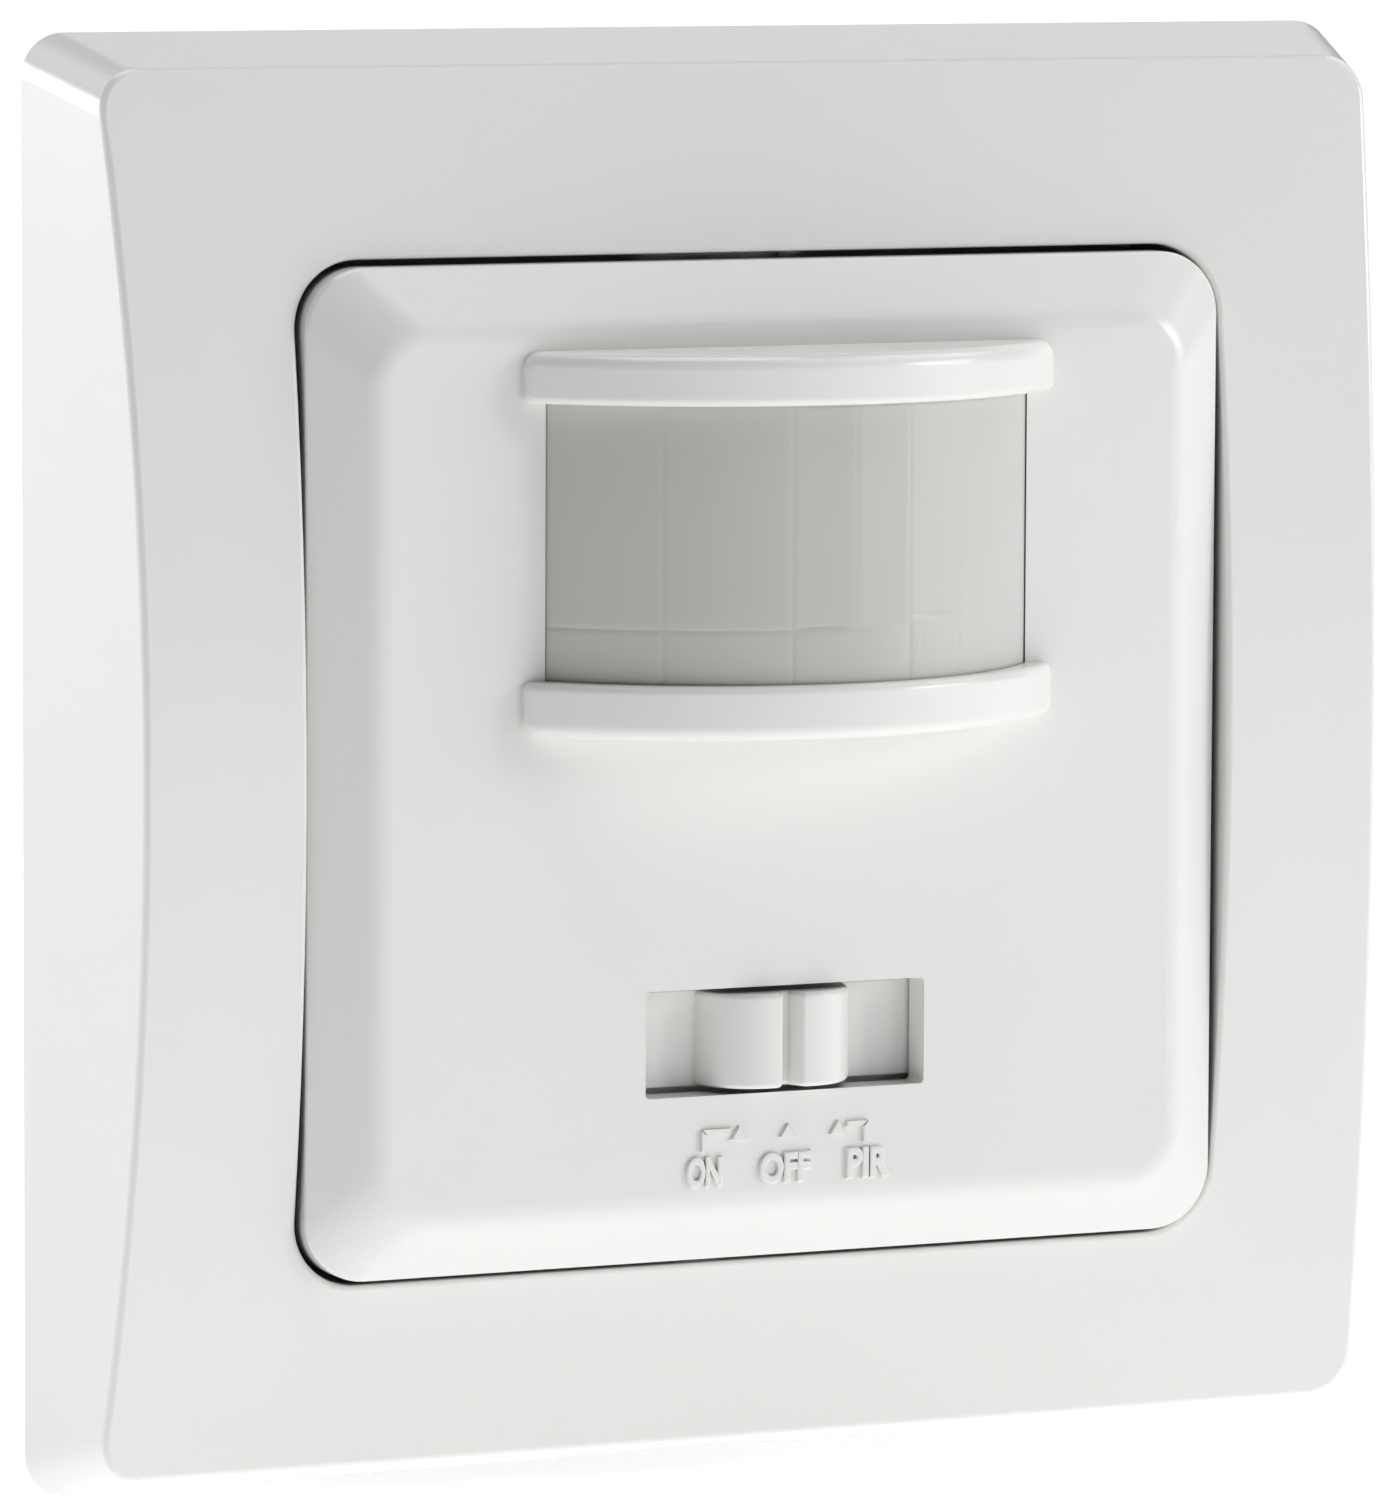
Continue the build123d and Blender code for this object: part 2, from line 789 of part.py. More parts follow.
def make_switch_lever():
    """Lever of the slide switch: a broad foot inside the can and a post through its slot."""
    foot_front = -switch_front_reach + switch_skin + lever_gap
    foot_back = foot_front + lever_foot_thickness
    foot_height = switch_height - 2 * (switch_skin + lever_gap)
    foot = block(0, knob_middle_z, lever_foot_width, foot_height, foot_front, foot_back)
    post = block(0, knob_middle_z, lever_width, lever_height, -lever_tip_reach, foot_back)
    return one_solid(foot + post)


def make_switch_pins():
    """Solder pins of the slide switch, through the board."""
    pins = []
    back = board_back_depth + lead_tail
    for side in (-1, 1):
        for step in range(switch_pin_count):
            x = (step - (switch_pin_count - 1) / 2) * switch_pin_pitch
            z = knob_middle_z + side * switch_pin_row / 2
            pins.append(disc(x, z, switch_pin_radius, board_front_depth, back))
    return Compound(pins)


def switch_pin_holes():
    """Holes in the board for the pins of the slide switch."""
    holes = []
    for side in (-1, 1):
        for step in range(switch_pin_count):
            x = (step - (switch_pin_count - 1) / 2) * switch_pin_pitch
            z = knob_middle_z + side * switch_pin_row / 2
            radius = switch_pin_radius + tuck_gap
            holes.append(disc(x, z, radius, board_front_depth - overrun, board_back_depth + overrun))
    return holes


# Steel plate and claws

def make_support_plate():
    """Square steel plate with its opening, box holes and slots, and two pairs of claw ears."""
    outline = rounded(steel_side, steel_side, steel_corner)
    outline -= flat_sided(steel_opening_radius, steel_opening_half_width)
    middle = box_screw_spacing / 2
    for side in (-1, 1):
        outline -= Pos(0, side * middle) * Circle(box_hole_radius)
        outline -= Pos(side * middle, 0) * Rot(0, 0, 90) * SlotOverall(box_slot_length, 2 * box_hole_radius)
        outline -= Pos(side * claw_screw_x, 0) * Circle(claw_screw_hole_radius)
        edge = side * (steel_side - notch_depth) / 2
        outline -= Pos(edge, 0) * Rectangle(notch_depth, notch_width)
        outline -= Pos(0, edge) * Rectangle(notch_width, notch_depth)
    for x, z in four_places(screw_place_x, screw_place_z):
        outline -= Pos(x, z) * Circle(housing_screw_hole_radius)
    plate = slab(outline, -steel_thickness, 0)
    for side in (-1, 1):
        for up in (-1, 1):
            plate += make_ear(side, up)
    return one_solid(plate)


def make_ear(side, up):
    """One ear, bent back from the plate, with the hole for a claw's trunnion."""
    z = up * (claw_height / 2 + claw_side_gap + ear_thickness / 2)
    x = side * (ear_inner_x + ear_width / 2)
    ear = block(x, z, ear_width, ear_thickness, -steel_thickness / 2, ear_depth)
    hole_place = (side * claw_pivot_x, claw_pivot_depth, z)
    return ear - rod_z(hole_place, claw_pivot_radius + claw_pivot_gap, ear_thickness + overrun)


def make_claw(side):
    """Bent claw with trunnions at its inner end, a screw hole and a toothed leg."""
    front = claw_pivot_depth - claw_thickness / 2
    back = claw_pivot_depth + claw_thickness / 2
    arm_width = claw_outer_x - claw_pivot_x
    arm = block((claw_outer_x + claw_pivot_x) / 2, 0, arm_width, claw_height, front, back)
    hole = SlotOverall(2 * claw_hole_half_length, 2 * claw_hole_half_width)
    arm -= slab(Pos(claw_screw_x + claw_hole_shift, 0) * hole, front - overrun, back + overrun)
    leg_x = claw_outer_x - claw_thickness / 2
    leg = block(leg_x, 0, claw_thickness, claw_height, front, claw_leg_depth)
    claw = arm + leg
    for step in range(claw_tooth_count):
        z = (step - (claw_tooth_count - 1) / 2) * claw_tooth_pitch
        claw += make_tooth(z)
    trunnion_length = claw_height + 2 * (claw_side_gap + ear_thickness)
    claw += rod_z((claw_pivot_x, claw_pivot_depth, 0), claw_pivot_radius, trunnion_length)
    claw = one_solid(claw)
    return claw if side > 0 else mirror(claw, about=Plane.YZ)


def make_tooth(z):
    """One wedge tooth at the end of a claw's leg."""
    start = (claw_outer_x, claw_leg_depth - 2 * claw_tooth_reach)
    tip = (claw_outer_x + claw_tooth_reach, claw_leg_depth)
    end = (claw_outer_x, claw_leg_depth)
    inner_end = (claw_outer_x - claw_thickness / 2, claw_leg_depth)
    inner_start = (claw_outer_x - claw_thickness / 2, claw_leg_depth - 2 * claw_tooth_reach)
    wedge = make_face(Polyline(start, tip, end, inner_end, inner_start, close=True))
    return prism(wedge, z - claw_tooth_width / 2, z + claw_tooth_width / 2)


def slotted_screw(x, z, radius, length, head_radius, head_height, head_back):
    """A pan-head screw along Y whose head lies against the depth `head_back`."""
    head_front = head_back - head_height
    screw = disc(x, z, head_radius, head_front, head_back)
    screw += disc(x, z, radius, head_back, head_back + length)
    drive_length = 2 * head_radius + overrun
    drive = block(x, z, drive_length, drive_width, head_front - overrun, head_front + drive_depth)
    return one_solid(screw - drive)


def make_claw_screw(side):
    """Screw that draws a claw forward."""
    return slotted_screw(
        side * claw_screw_x, 0, claw_screw_radius, claw_screw_length, claw_head_radius, claw_head_height,
        -steel_thickness,
    )


# Housing

def make_housing_front():
    """Tray in front of the steel plate, with a spigot through it, a sensor collar and catches."""
    tray = slab(rounded(tray_side, tray_side, tray_corner), -tray_front_reach, -steel_thickness)
    tray += slab(flat_sided(spigot_radius, spigot_half_width), -tray_front_reach, spigot_depth)
    collar_place = Pos(0, window_middle_z)
    collar_corner = retainer_corner - shroud_wall / 2
    collar = collar_place * rounded(collar_width, collar_height, collar_corner)
    tray += slab(collar, -collar_end_reach, -tray_front_reach)
    for x, z in four_places(catch_inner_x, catch_z):
        tray += make_catch(math.copysign(1, x), z)
    inside = flat_sided(spigot_radius - spigot_wall, spigot_half_width - spigot_wall)
    tray -= slab(inside, -steel_thickness, spigot_depth + overrun)
    hole_width = collar_width - 2 * collar_wall
    hole_height = collar_height - 2 * collar_wall
    collar_hole = collar_place * rounded(hole_width, hole_height, collar_corner / 2)
    tray -= slab(collar_hole, -collar_end_reach - overrun, 0)
    start = -tray_front_reach - overrun
    switch_hole_width = switch_width + 2 * tray_hole_gap
    switch_hole_height = switch_height + 2 * tray_hole_gap
    tray -= block(0, knob_middle_z, switch_hole_width, switch_hole_height, start, spigot_depth + overrun)
    notch_width_x = tray_side / 2 - claw_notch_x + overrun
    for side in (-1, 1):
        tray -= disc(side * trimmer_x, trimmer_z, rotor_radius + tray_hole_gap, start, 0)
        notch_x = side * (claw_notch_x + notch_width_x / 2)
        tray -= block(notch_x, 0, notch_width_x, 2 * claw_notch_half_height, start, 0)
    for x, z in four_places(screw_place_x, screw_place_z):
        tray -= disc(x, z, housing_screw_hole_radius, start, 0)
    return one_solid(tray)


def make_catch(side, z):
    """One catch on the tray: a neck with a ledge that a plate hook grips."""
    neck_width = catch_neck_x - catch_inner_x
    ledge_width_x = catch_ledge_x - catch_inner_x
    neck_x = side * (catch_inner_x + neck_width / 2)
    ledge_x = side * (catch_inner_x + ledge_width_x / 2)
    neck = block(neck_x, z, neck_width, catch_width, -catch_ledge_reach, -tray_front_reach)
    return neck + block(ledge_x, z, ledge_width_x, catch_width, -catch_top_reach, -catch_ledge_reach)


def terminal_bay(grow):
    """The space of the terminal block, grown by a gap, open behind and below."""
    width = block_width + 2 * grow
    top = block_high_z + grow
    height = top + housing_radius + overrun
    return block(0, top - height / 2, width, height, power_board_back, housing_depth + overrun)


def spacer_places():
    """Places of the four spacers between the boards and of the four posts behind them."""
    return [(side * spacer_x, z) for side in (-1, 1) for z in (spacer_low_z, spacer_high_z)]


def board_posts():
    """Four posts from the housing's floor that carry the power board."""
    end = housing_floor_depth + housing_wall / 2
    return [disc(x, z, post_radius, power_board_back, end) for x, z in spacer_places()]


def make_rear_housing():
    """Rear box with flats for the claws, screw bosses, board posts and an open terminal bay."""
    body = one_solid(slab(flat_sided(housing_radius, housing_half_width), 0, housing_depth))
    body = fillet(body.faces().sort_by(Axis.Y)[-1].edges(), housing_round)
    inside = flat_sided(housing_inner_radius, housing_inner_half_width)
    for x, z in four_places(screw_place_x, screw_place_z):
        inside -= Pos(x, z) * Circle(boss_radius)
    body -= slab(inside, -overrun, boss_depth)
    plain = flat_sided(housing_inner_radius, housing_inner_half_width)
    body -= slab(plain, boss_depth, housing_floor_depth)
    for post in board_posts():
        body += post
    for x, z in four_places(screw_place_x, screw_place_z):
        body -= disc(x, z, boss_hole_radius, -overrun, boss_depth + overrun)
    return one_solid(body - terminal_bay(block_gap))


def make_housing_screws():
    """Four screws through the tray and the steel plate into the rear box."""
    screws = []
    for x, z in four_places(screw_place_x, screw_place_z):
        screws.append(
            slotted_screw(x, z, housing_screw_radius, housing_screw_length, housing_head_radius,
                          housing_head_height, -tray_front_reach)
        )
    return Compound(screws)


# Boards

def make_sensor_board():
    """Front board, lying on the end of the tray's spigot."""
    outline = flat_sided(sensor_board_radius, board_half_width)
    board = slab(outline, board_front_depth, board_back_depth)
    for hole in switch_pin_holes() + lead_holes(pir_lead_places(), pir_lead_radius):
        board -= hole
    for hole in lead_holes(photocell_lead_places(), pir_lead_radius) + header_holes(board_front_depth):
        board -= hole
    return one_solid(board)


def lead_holes(places, radius):
    """Holes in the sensor board for round leads."""
    front = board_front_depth - overrun
    back = board_back_depth + overrun
    return [disc(x, z, radius + tuck_gap, front, back) for x, z in places]


def make_power_board():
    """Rear board, notched so that it passes the screw bosses."""
    outline = flat_sided(power_board_radius, board_half_width)
    for x, z in four_places(screw_place_x, screw_place_z):
        outline -= Pos(x, z) * Circle(boss_radius + board_boss_gap)
    board = slab(outline, power_board_depth, power_board_back)
    for hole in header_holes(power_board_depth):
        board -= hole
    return one_solid(board)


def make_board_spacers():
    """Four hollow spacers between the two boards."""
    ring = Circle(spacer_radius) - Circle(spacer_hole_radius)
    spacers = [slab(Pos(*place) * ring, board_back_depth, power_board_depth) for place in spacer_places()]
    return Compound(spacers)


def header_places():
    """Places of the pins that join the two boards."""
    middle = (header_pin_count - 1) / 2
    return [(header_x + (step - middle) * header_pin_spacing, header_z) for step in range(header_pin_count)]


def header_holes(depth):
    """Holes for the header pins in the board that starts at a depth."""
    side = 2 * (header_pin_half_side + tuck_gap)
    back = depth + board_thickness + overrun
    return [block(x, z, side, side, depth - overrun, back) for x, z in header_places()]


def make_header_pins():
    """Square pins through both boards."""
    side = 2 * header_pin_half_side
    front = board_front_depth - lead_tail / 2
    back = power_board_back + lead_tail
    return Compound([block(x, z, side, side, front, back) for x, z in header_places()])


def make_header_body():
    """Plastic strip that holds the header pins on the power board."""
    width = header_pin_count * header_pin_spacing
    front = power_board_depth - header_body_height
    body = block(header_x, header_z, width, header_body_width, front, power_board_depth)
    side = 2 * (header_pin_half_side + tuck_gap / 2)
    for x, z in header_places():
        body -= block(x, z, side, side, front - overrun, power_board_depth + overrun)
    return one_solid(body)


# Parts on the sensor board

def pir_lead_places():
    """Places of the three leads of the pyroelectric sensor."""
    places = []
    for share in pir_lead_angles_share:
        angle = 2 * math.pi * share
        x = pir_lead_circle * math.cos(angle)
        z = window_middle_z + pir_lead_circle * math.sin(angle)
        places.append((x, z))
    return places


def make_pir_can():
    """Metal can of the pyroelectric sensor, with its flange and window opening."""
    front = board_front_depth - pir_height
    can = disc(0, window_middle_z, pir_radius, front, board_front_depth)
    can = fillet(one_solid(can).faces().sort_by(Axis.Y)[0].edges(), pir_round)
    flange_front = board_front_depth - pir_flange_height
    can += disc(0, window_middle_z, pir_flange_radius, flange_front, board_front_depth)
    can -= disc(0, window_middle_z, pir_radius - pir_wall, front + pir_wall, board_front_depth + overrun)
    opening_front = front - overrun
    can -= block(0, window_middle_z, pir_window_width, pir_window_height, opening_front, front + overrun)
    return one_solid(can)


def make_pir_window():
    """Infrared filter that closes the can's opening from inside."""
    front = board_front_depth - pir_height + pir_wall
    width = pir_window_width + 2 * pir_wall
    height = pir_window_height + 2 * pir_wall
    return one_solid(block(0, window_middle_z, width, height, front, front + pir_window_thickness))


def make_pir_base():
    """Sealed base of the sensor with its three leads."""
    front = board_front_depth - pir_base_thickness
    base = disc(0, window_middle_z, pir_radius - pir_wall, front, board_front_depth)
    for x, z in pir_lead_places():
        base += disc(x, z, pir_lead_radius, board_front_depth, board_back_depth + lead_tail)
    return one_solid(base)


def photocell_lead_places():
    """Places of the two leads of the photocell."""
    half = photocell_lead_spacing / 2
    return [(photocell_x, photocell_z + half), (photocell_x, photocell_z - half)]


def make_photocell():
    """Light-dependent resistor: a flat-sided disc on two leads."""
    back = board_front_depth - photocell_rise
    outline = flat_sided(photocell_radius, photocell_radius - photocell_cut)
    cell = slab(Pos(photocell_x, photocell_z) * outline, back - photocell_thickness, back)
    for x, z in photocell_lead_places():
        cell += disc(x, z, pir_lead_radius, back, board_back_depth + lead_tail)
    return one_solid(cell)


def make_trimmer_body(side):
    """Square base of a trimmer with a round well for its rotor."""
    front = board_front_depth - trimmer_height
    body = block(side * trimmer_x, trimmer_z, trimmer_side, trimmer_side, front, board_front_depth)
    well = front + trimmer_well_depth
    body -= disc(side * trimmer_x, trimmer_z, rotor_radius + rotor_gap, front - overrun, well)
    return one_solid(body)


def make_trimmer_rotor(side):
    """Rotor of a trimmer, with a screwdriver slot and a round pointer mark."""
    back = board_front_depth - trimmer_height + trimmer_well_depth - rotor_gap
    front = back - rotor_height
    x = side * trimmer_x
    rotor = disc(x, trimmer_z, rotor_radius, front, back)
    slot_end = front + rotor_slot_depth
    rotor -= block(x, trimmer_z, rotor_slot_width, rotor_slot_length, front - overrun, slot_end)
    pointer_z = trimmer_z + rotor_slot_length / 2
    rotor -= disc(x, pointer_z, pointer_radius, front - overrun, slot_end)
    return one_solid(rotor)


def make_comparator_chip():
    """Small-outline chip behind the sensor board, with a row of legs on both sides."""
    back = board_back_depth + chip_height
    lift = chip_leg_thickness / 2
    body = block(chip_x, chip_z, chip_length, chip_width, board_back_depth + lift, back)
    for side in (-1, 1):
        for step in range(chip_leg_count):
            x = chip_x + (step - (chip_leg_count - 1) / 2) * chip_leg_pitch
            z = chip_z + side * (chip_width + chip_leg_reach) / 2
            leg_back = board_back_depth + chip_leg_thickness
            body += block(x, z, chip_leg_width, chip_leg_reach, board_back_depth, leg_back)
    return one_solid(body)


# Parts on the power board

def make_relay():
    """Sealed relay on the front of the power board."""
    case = block(0, relay_z, relay_width, relay_height, power_board_depth - relay_rise, power_board_depth)
    case = one_solid(case)
    return fillet(case.edges().filter_by(Axis.Y), relay_round)


def make_film_capacitor():
    """Boxed mains capacitor."""
    front = power_board_depth - film_cap_rise
    case = block(film_cap_x, film_cap_z, film_cap_width, film_cap_height, front, power_board_depth)
    return fillet(one_solid(case).edges().filter_by(Axis.Y), relay_round)


def make_smoothing_capacitor():
    """Round electrolytic capacitor with its crimp groove."""
    front = power_board_depth - round_cap_rise
    can = disc(round_cap_x, round_cap_z, round_cap_radius, front, power_board_depth)
    groove_back = power_board_depth - round_cap_groove_rise
    ring = Circle(round_cap_radius + overrun) - Circle(round_cap_radius - round_cap_groove)
    place = Pos(round_cap_x, round_cap_z)
    can -= slab(place * ring, groove_back - round_cap_groove, groove_back)
    return one_solid(can)


def make_bridge_rectifier():
    """Moulded bridge rectifier."""
    front = power_board_depth - rectifier_rise
    body = block(rectifier_x, rectifier_z, rectifier_width, rectifier_height, front, power_board_depth)
    return one_solid(body)


def axial_part(middle, radius, length, lead_span, board_depth):
    """A round body along X whose two leads turn down to the board."""
    x, y, z = middle
    body = rod_x(middle, radius, length)
    body += rod_x(middle, resistor_lead_radius, lead_span)
    for side in (-1, 1):
        lead_x = x + side * lead_span / 2
        body += disc(lead_x, z, resistor_lead_radius, min(y, board_depth), max(y, board_depth))
    return one_solid(body)


def make_resistors():
    """Row of axial resistors on the front of the power board."""
    y = power_board_depth - resistor_radius - seat_gap
    parts = []
    for step in range(resistor_count):
        middle = (resistor_x, y, resistor_z - step * resistor_pitch)
        parts.append(
            axial_part(middle, resistor_radius, resistor_length, resistor_lead_span, power_board_depth)
        )
    return Compound(parts)


def make_varistor():
    """Disc varistor standing on the back of the power board."""
    middle_depth = power_board_back + seat_gap + varistor_radius
    body = rod_z((varistor_x, middle_depth, varistor_z), varistor_radius, varistor_thickness)
    for side in (-1, 1):
        lead_x = varistor_x + side * varistor_lead_spacing / 2
        body += disc(lead_x, varistor_z, resistor_lead_radius, power_board_back, middle_depth)
    return one_solid(body)


def make_regulator():
    """Small regulator on three leads."""
    start = power_board_back + regulator_stand
    side = 2 * regulator_radius
    flat = Pos(0, -regulator_radius - regulator_flat) * Rectangle(side, side)
    outline = Pos(regulator_x, regulator_z) * (Circle(regulator_radius) - flat)
    body = slab(outline, start, start + regulator_rise)
    for step in (-1, 0, 1):
        lead_x = regulator_x + step * chip_leg_pitch
        body += disc(lead_x, regulator_z, pir_lead_radius, power_board_back, start)
    return one_solid(body)


def make_fuse():
    """Fusible resistor lying on the back of the power board."""
    middle = (fuse_x, power_board_back + fuse_radius + seat_gap, fuse_z)
    return axial_part(middle, fuse_radius, fuse_length, fuse_lead_span, power_board_back)


# Terminal block

def pole_places():
    """The three poles by name, from left to right seen from the front."""
    middle = (len(pole_names) - 1) / 2
    return [(name, (step - middle) * pole_pitch) for step, name in enumerate(pole_names)]


def make_terminal_block():
    """Moulded block with three cage wells, wire entries below and screw wells behind."""
    middle_z = (block_high_z + block_low_z) / 2
    body = block(0, middle_z, block_width, block_height, power_board_back, block_depth_end)
    body = fillet(one_solid(body).edges().filter_by(Axis.Y), block_round)
    wire_depth = wire_start_depth + wire_space / 2
    for name, x in pole_places():
        well_width = cage_width + 2 * cage_gap
        well_height = cage_height + 2 * cage_gap
        well_end = terminal_head_depth - cage_gap
        body -= block(x, cage_z, well_width, well_height, cage_start_depth - cage_gap, well_end)
        body -= disc(x, cage_z, terminal_well_radius, well_end - overrun, block_depth_end + overrun)
        entry_length = cage_z - block_low_z + overrun
        entry_z = (cage_z + block_low_z - overrun) / 2
        body -= rod_z((x, wire_depth, entry_z), wire_hole_radius, entry_length)
        body -= bar_space(x, bar_gap)
    return one_solid(body)


def bar_space(x, grow):
    """A contact bar's upright, grown by a gap: it goes from the cage to the board."""
    bar_end_z = cage_z + cage_height / 2 + cage_gap + bar_thickness
    inner_z = cage_z - cage_height / 2
    length = bar_end_z - inner_z + grow
    front = bar_start_depth - grow
    back = bar_start_depth + bar_thickness + grow
    bar = block(x, inner_z + length / 2, bar_width + 2 * grow, length, front, back)
    tail_height = bar_thickness + 2 * grow
    tail_z = bar_end_z + grow - tail_height / 2
    return bar + block(x, tail_z, bar_width + 2 * grow, tail_height, power_board_back, back)


def make_contact_bars():
    """Three fixed contact bars, each through its cage and down to the board."""
    return Compound([one_solid(bar_space(x, 0)) for name, x in pole_places()])


def make_cage(x):
    """Rising cage: a square tube open towards the wire, with the screw through its rear wall."""
    cage = block(x, cage_z, cage_width, cage_height, cage_start_depth, cage_end_depth)
    window_width_x = cage_width - 2 * cage_wall
    cage -= block(x, cage_z, window_width_x, cage_height + overrun, wire_start_depth, cage_top_start)
    hole_radius = terminal_screw_radius + terminal_thread_gap
    cage -= disc(x, cage_z, hole_radius, cage_top_start - overrun, cage_end_depth + overrun)
    return one_solid(cage)


def make_terminal_screw(x):
    """Captive screw of one clamp: head at the back, tip just above the contact bar."""
    head_end = terminal_head_depth + terminal_head_height
    tip = bar_start_depth + bar_thickness + bar_gap
    screw = disc(x, cage_z, terminal_head_radius, terminal_head_depth, head_end)
    screw += disc(x, cage_z, terminal_screw_radius, tip, terminal_head_depth)
    drive_length = 2 * terminal_head_radius + overrun
    screw -= block(x, cage_z, drive_length, drive_width, head_end - drive_depth, head_end + overrun)
    return one_solid(screw)


def all_parts():
    """Every sub-part by its name."""
    parts = {
        "front_frame": make_front_frame(),
        "centre_plate": make_centre_plate(),
        "fresnel_lens": make_fresnel_lens(),
        "lens_retainer": make_lens_retainer(),
        "slider_knob": make_slider_knob(),
        "switch_can": make_switch_can(),
        "switch_base": make_switch_base(),
        "switch_lever": make_switch_lever(),
        "switch_pins": make_switch_pins(),
        "support_plate": make_support_plate(),
        "claw_left": make_claw(-1),
        "claw_right": make_claw(1),
        "claw_screw_left": make_claw_screw(-1),
        "claw_screw_right": make_claw_screw(1),
        "housing_front": make_housing_front(),
        "rear_housing": make_rear_housing(),
        "housing_screws": make_housing_screws(),
        "sensor_board": make_sensor_board(),
        "power_board": make_power_board(),
        "board_spacers": make_board_spacers(),
        "header_pins": make_header_pins(),
        "header_body": make_header_body(),
        "pir_can": make_pir_can(),
        "pir_window": make_pir_window(),
        "pir_base": make_pir_base(),
        "photocell": make_photocell(),
        "time_trimmer_body": make_trimmer_body(-1),
        "time_trimmer_rotor": make_trimmer_rotor(-1),
        "light_trimmer_body": make_trimmer_body(1),
        "light_trimmer_rotor": make_trimmer_rotor(1),
        "comparator_chip": make_comparator_chip(),
        "relay": make_relay(),
        "film_capacitor": make_film_capacitor(),
        "smoothing_capacitor": make_smoothing_capacitor(),
        "bridge_rectifier": make_bridge_rectifier(),
        "resistors": make_resistors(),
        "varistor": make_varistor(),
        "regulator": make_regulator(),
        "fusible_resistor": make_fuse(),
        "terminal_block": make_terminal_block(),
        "contact_bars": make_contact_bars(),
    }
    for name, x in pole_places():
        parts["terminal_cage_" + name] = make_cage(x)
        parts["terminal_screw_" + name] = make_terminal_screw(x)
    return parts


os.makedirs("parts", exist_ok=True)
for part_name, part in all_parts().items():
    export_step(part, os.path.join("parts", part_name + ".step"))
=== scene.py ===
import bmesh
import bpy
import json
import math
from mathutils import Matrix, Vector


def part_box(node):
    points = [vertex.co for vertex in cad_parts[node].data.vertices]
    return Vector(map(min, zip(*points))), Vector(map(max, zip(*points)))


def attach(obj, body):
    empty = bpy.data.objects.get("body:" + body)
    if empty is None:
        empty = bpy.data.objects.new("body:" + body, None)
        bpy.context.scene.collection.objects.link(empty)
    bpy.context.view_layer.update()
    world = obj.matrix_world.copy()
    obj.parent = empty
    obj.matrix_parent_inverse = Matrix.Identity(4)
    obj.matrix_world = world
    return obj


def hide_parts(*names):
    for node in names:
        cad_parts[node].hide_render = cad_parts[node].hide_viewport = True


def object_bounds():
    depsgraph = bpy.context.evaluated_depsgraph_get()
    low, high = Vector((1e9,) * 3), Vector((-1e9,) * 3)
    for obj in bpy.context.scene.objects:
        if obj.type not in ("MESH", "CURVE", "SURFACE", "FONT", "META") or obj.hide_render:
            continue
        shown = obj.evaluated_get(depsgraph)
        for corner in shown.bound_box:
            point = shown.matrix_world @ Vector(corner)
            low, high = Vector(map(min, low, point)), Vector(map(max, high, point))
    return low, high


# Dressed motion sensor light switch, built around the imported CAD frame. Metres, +Z up, the viewer at -Y.

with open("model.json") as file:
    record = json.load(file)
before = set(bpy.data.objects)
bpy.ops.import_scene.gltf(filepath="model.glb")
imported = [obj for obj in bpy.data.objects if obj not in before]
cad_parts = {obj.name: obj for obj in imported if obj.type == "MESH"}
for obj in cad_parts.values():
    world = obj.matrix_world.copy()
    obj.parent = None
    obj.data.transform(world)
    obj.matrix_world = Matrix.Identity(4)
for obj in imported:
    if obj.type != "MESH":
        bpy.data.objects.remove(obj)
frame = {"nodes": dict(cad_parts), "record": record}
cad_low, cad_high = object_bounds()
nodes = frame["nodes"]
MM = 0.001
FULL_TURN = 2 * math.pi


# Sizes that the frame gives

def span(node):
    """Lowest corner, highest corner, middle and size of a CAD node."""
    low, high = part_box(node)
    return low, high, (low + high) / 2, high - low


# Materials

def material(name, colour, rough, metallic=0.0, specular=0.5, ior=1.49, coat=0.0, coat_rough=0.1):
    """A principled material with its plain values set, and its node tree."""
    made = bpy.data.materials.new(name)
    made.use_nodes = True
    tree = made.node_tree
    shader = tree.nodes["Principled BSDF"]
    shader.inputs["Base Color"].default_value = (*colour, 1)
    shader.inputs["Roughness"].default_value = rough
    shader.inputs["Metallic"].default_value = metallic
    shader.inputs["Specular IOR Level"].default_value = specular
    shader.inputs["IOR"].default_value = ior
    shader.inputs["Coat Weight"].default_value = coat
    shader.inputs["Coat Roughness"].default_value = coat_rough
    made.diffuse_color = (*colour, 1)
    return made, tree, shader


def place(tree, stretch=(1, 1, 1)):
    """Object coordinates, stretched along each axis."""
    coords = tree.nodes.new("ShaderNodeTexCoord")
    mapping = tree.nodes.new("ShaderNodeMapping")
    mapping.inputs["Scale"].default_value = stretch
    tree.links.new(coords.outputs["Object"], mapping.inputs["Vector"])
    return mapping.outputs["Vector"]


def noise(tree, where, feature, detail=3.0, rough=0.5):
    """Noise whose features are about `feature` metres across."""
    node = tree.nodes.new("ShaderNodeTexNoise")
    node.inputs["Scale"].default_value = 1 / feature
    node.inputs["Detail"].default_value = detail
    node.inputs["Roughness"].default_value = rough
    tree.links.new(where, node.inputs["Vector"])
    return node.outputs["Fac"]


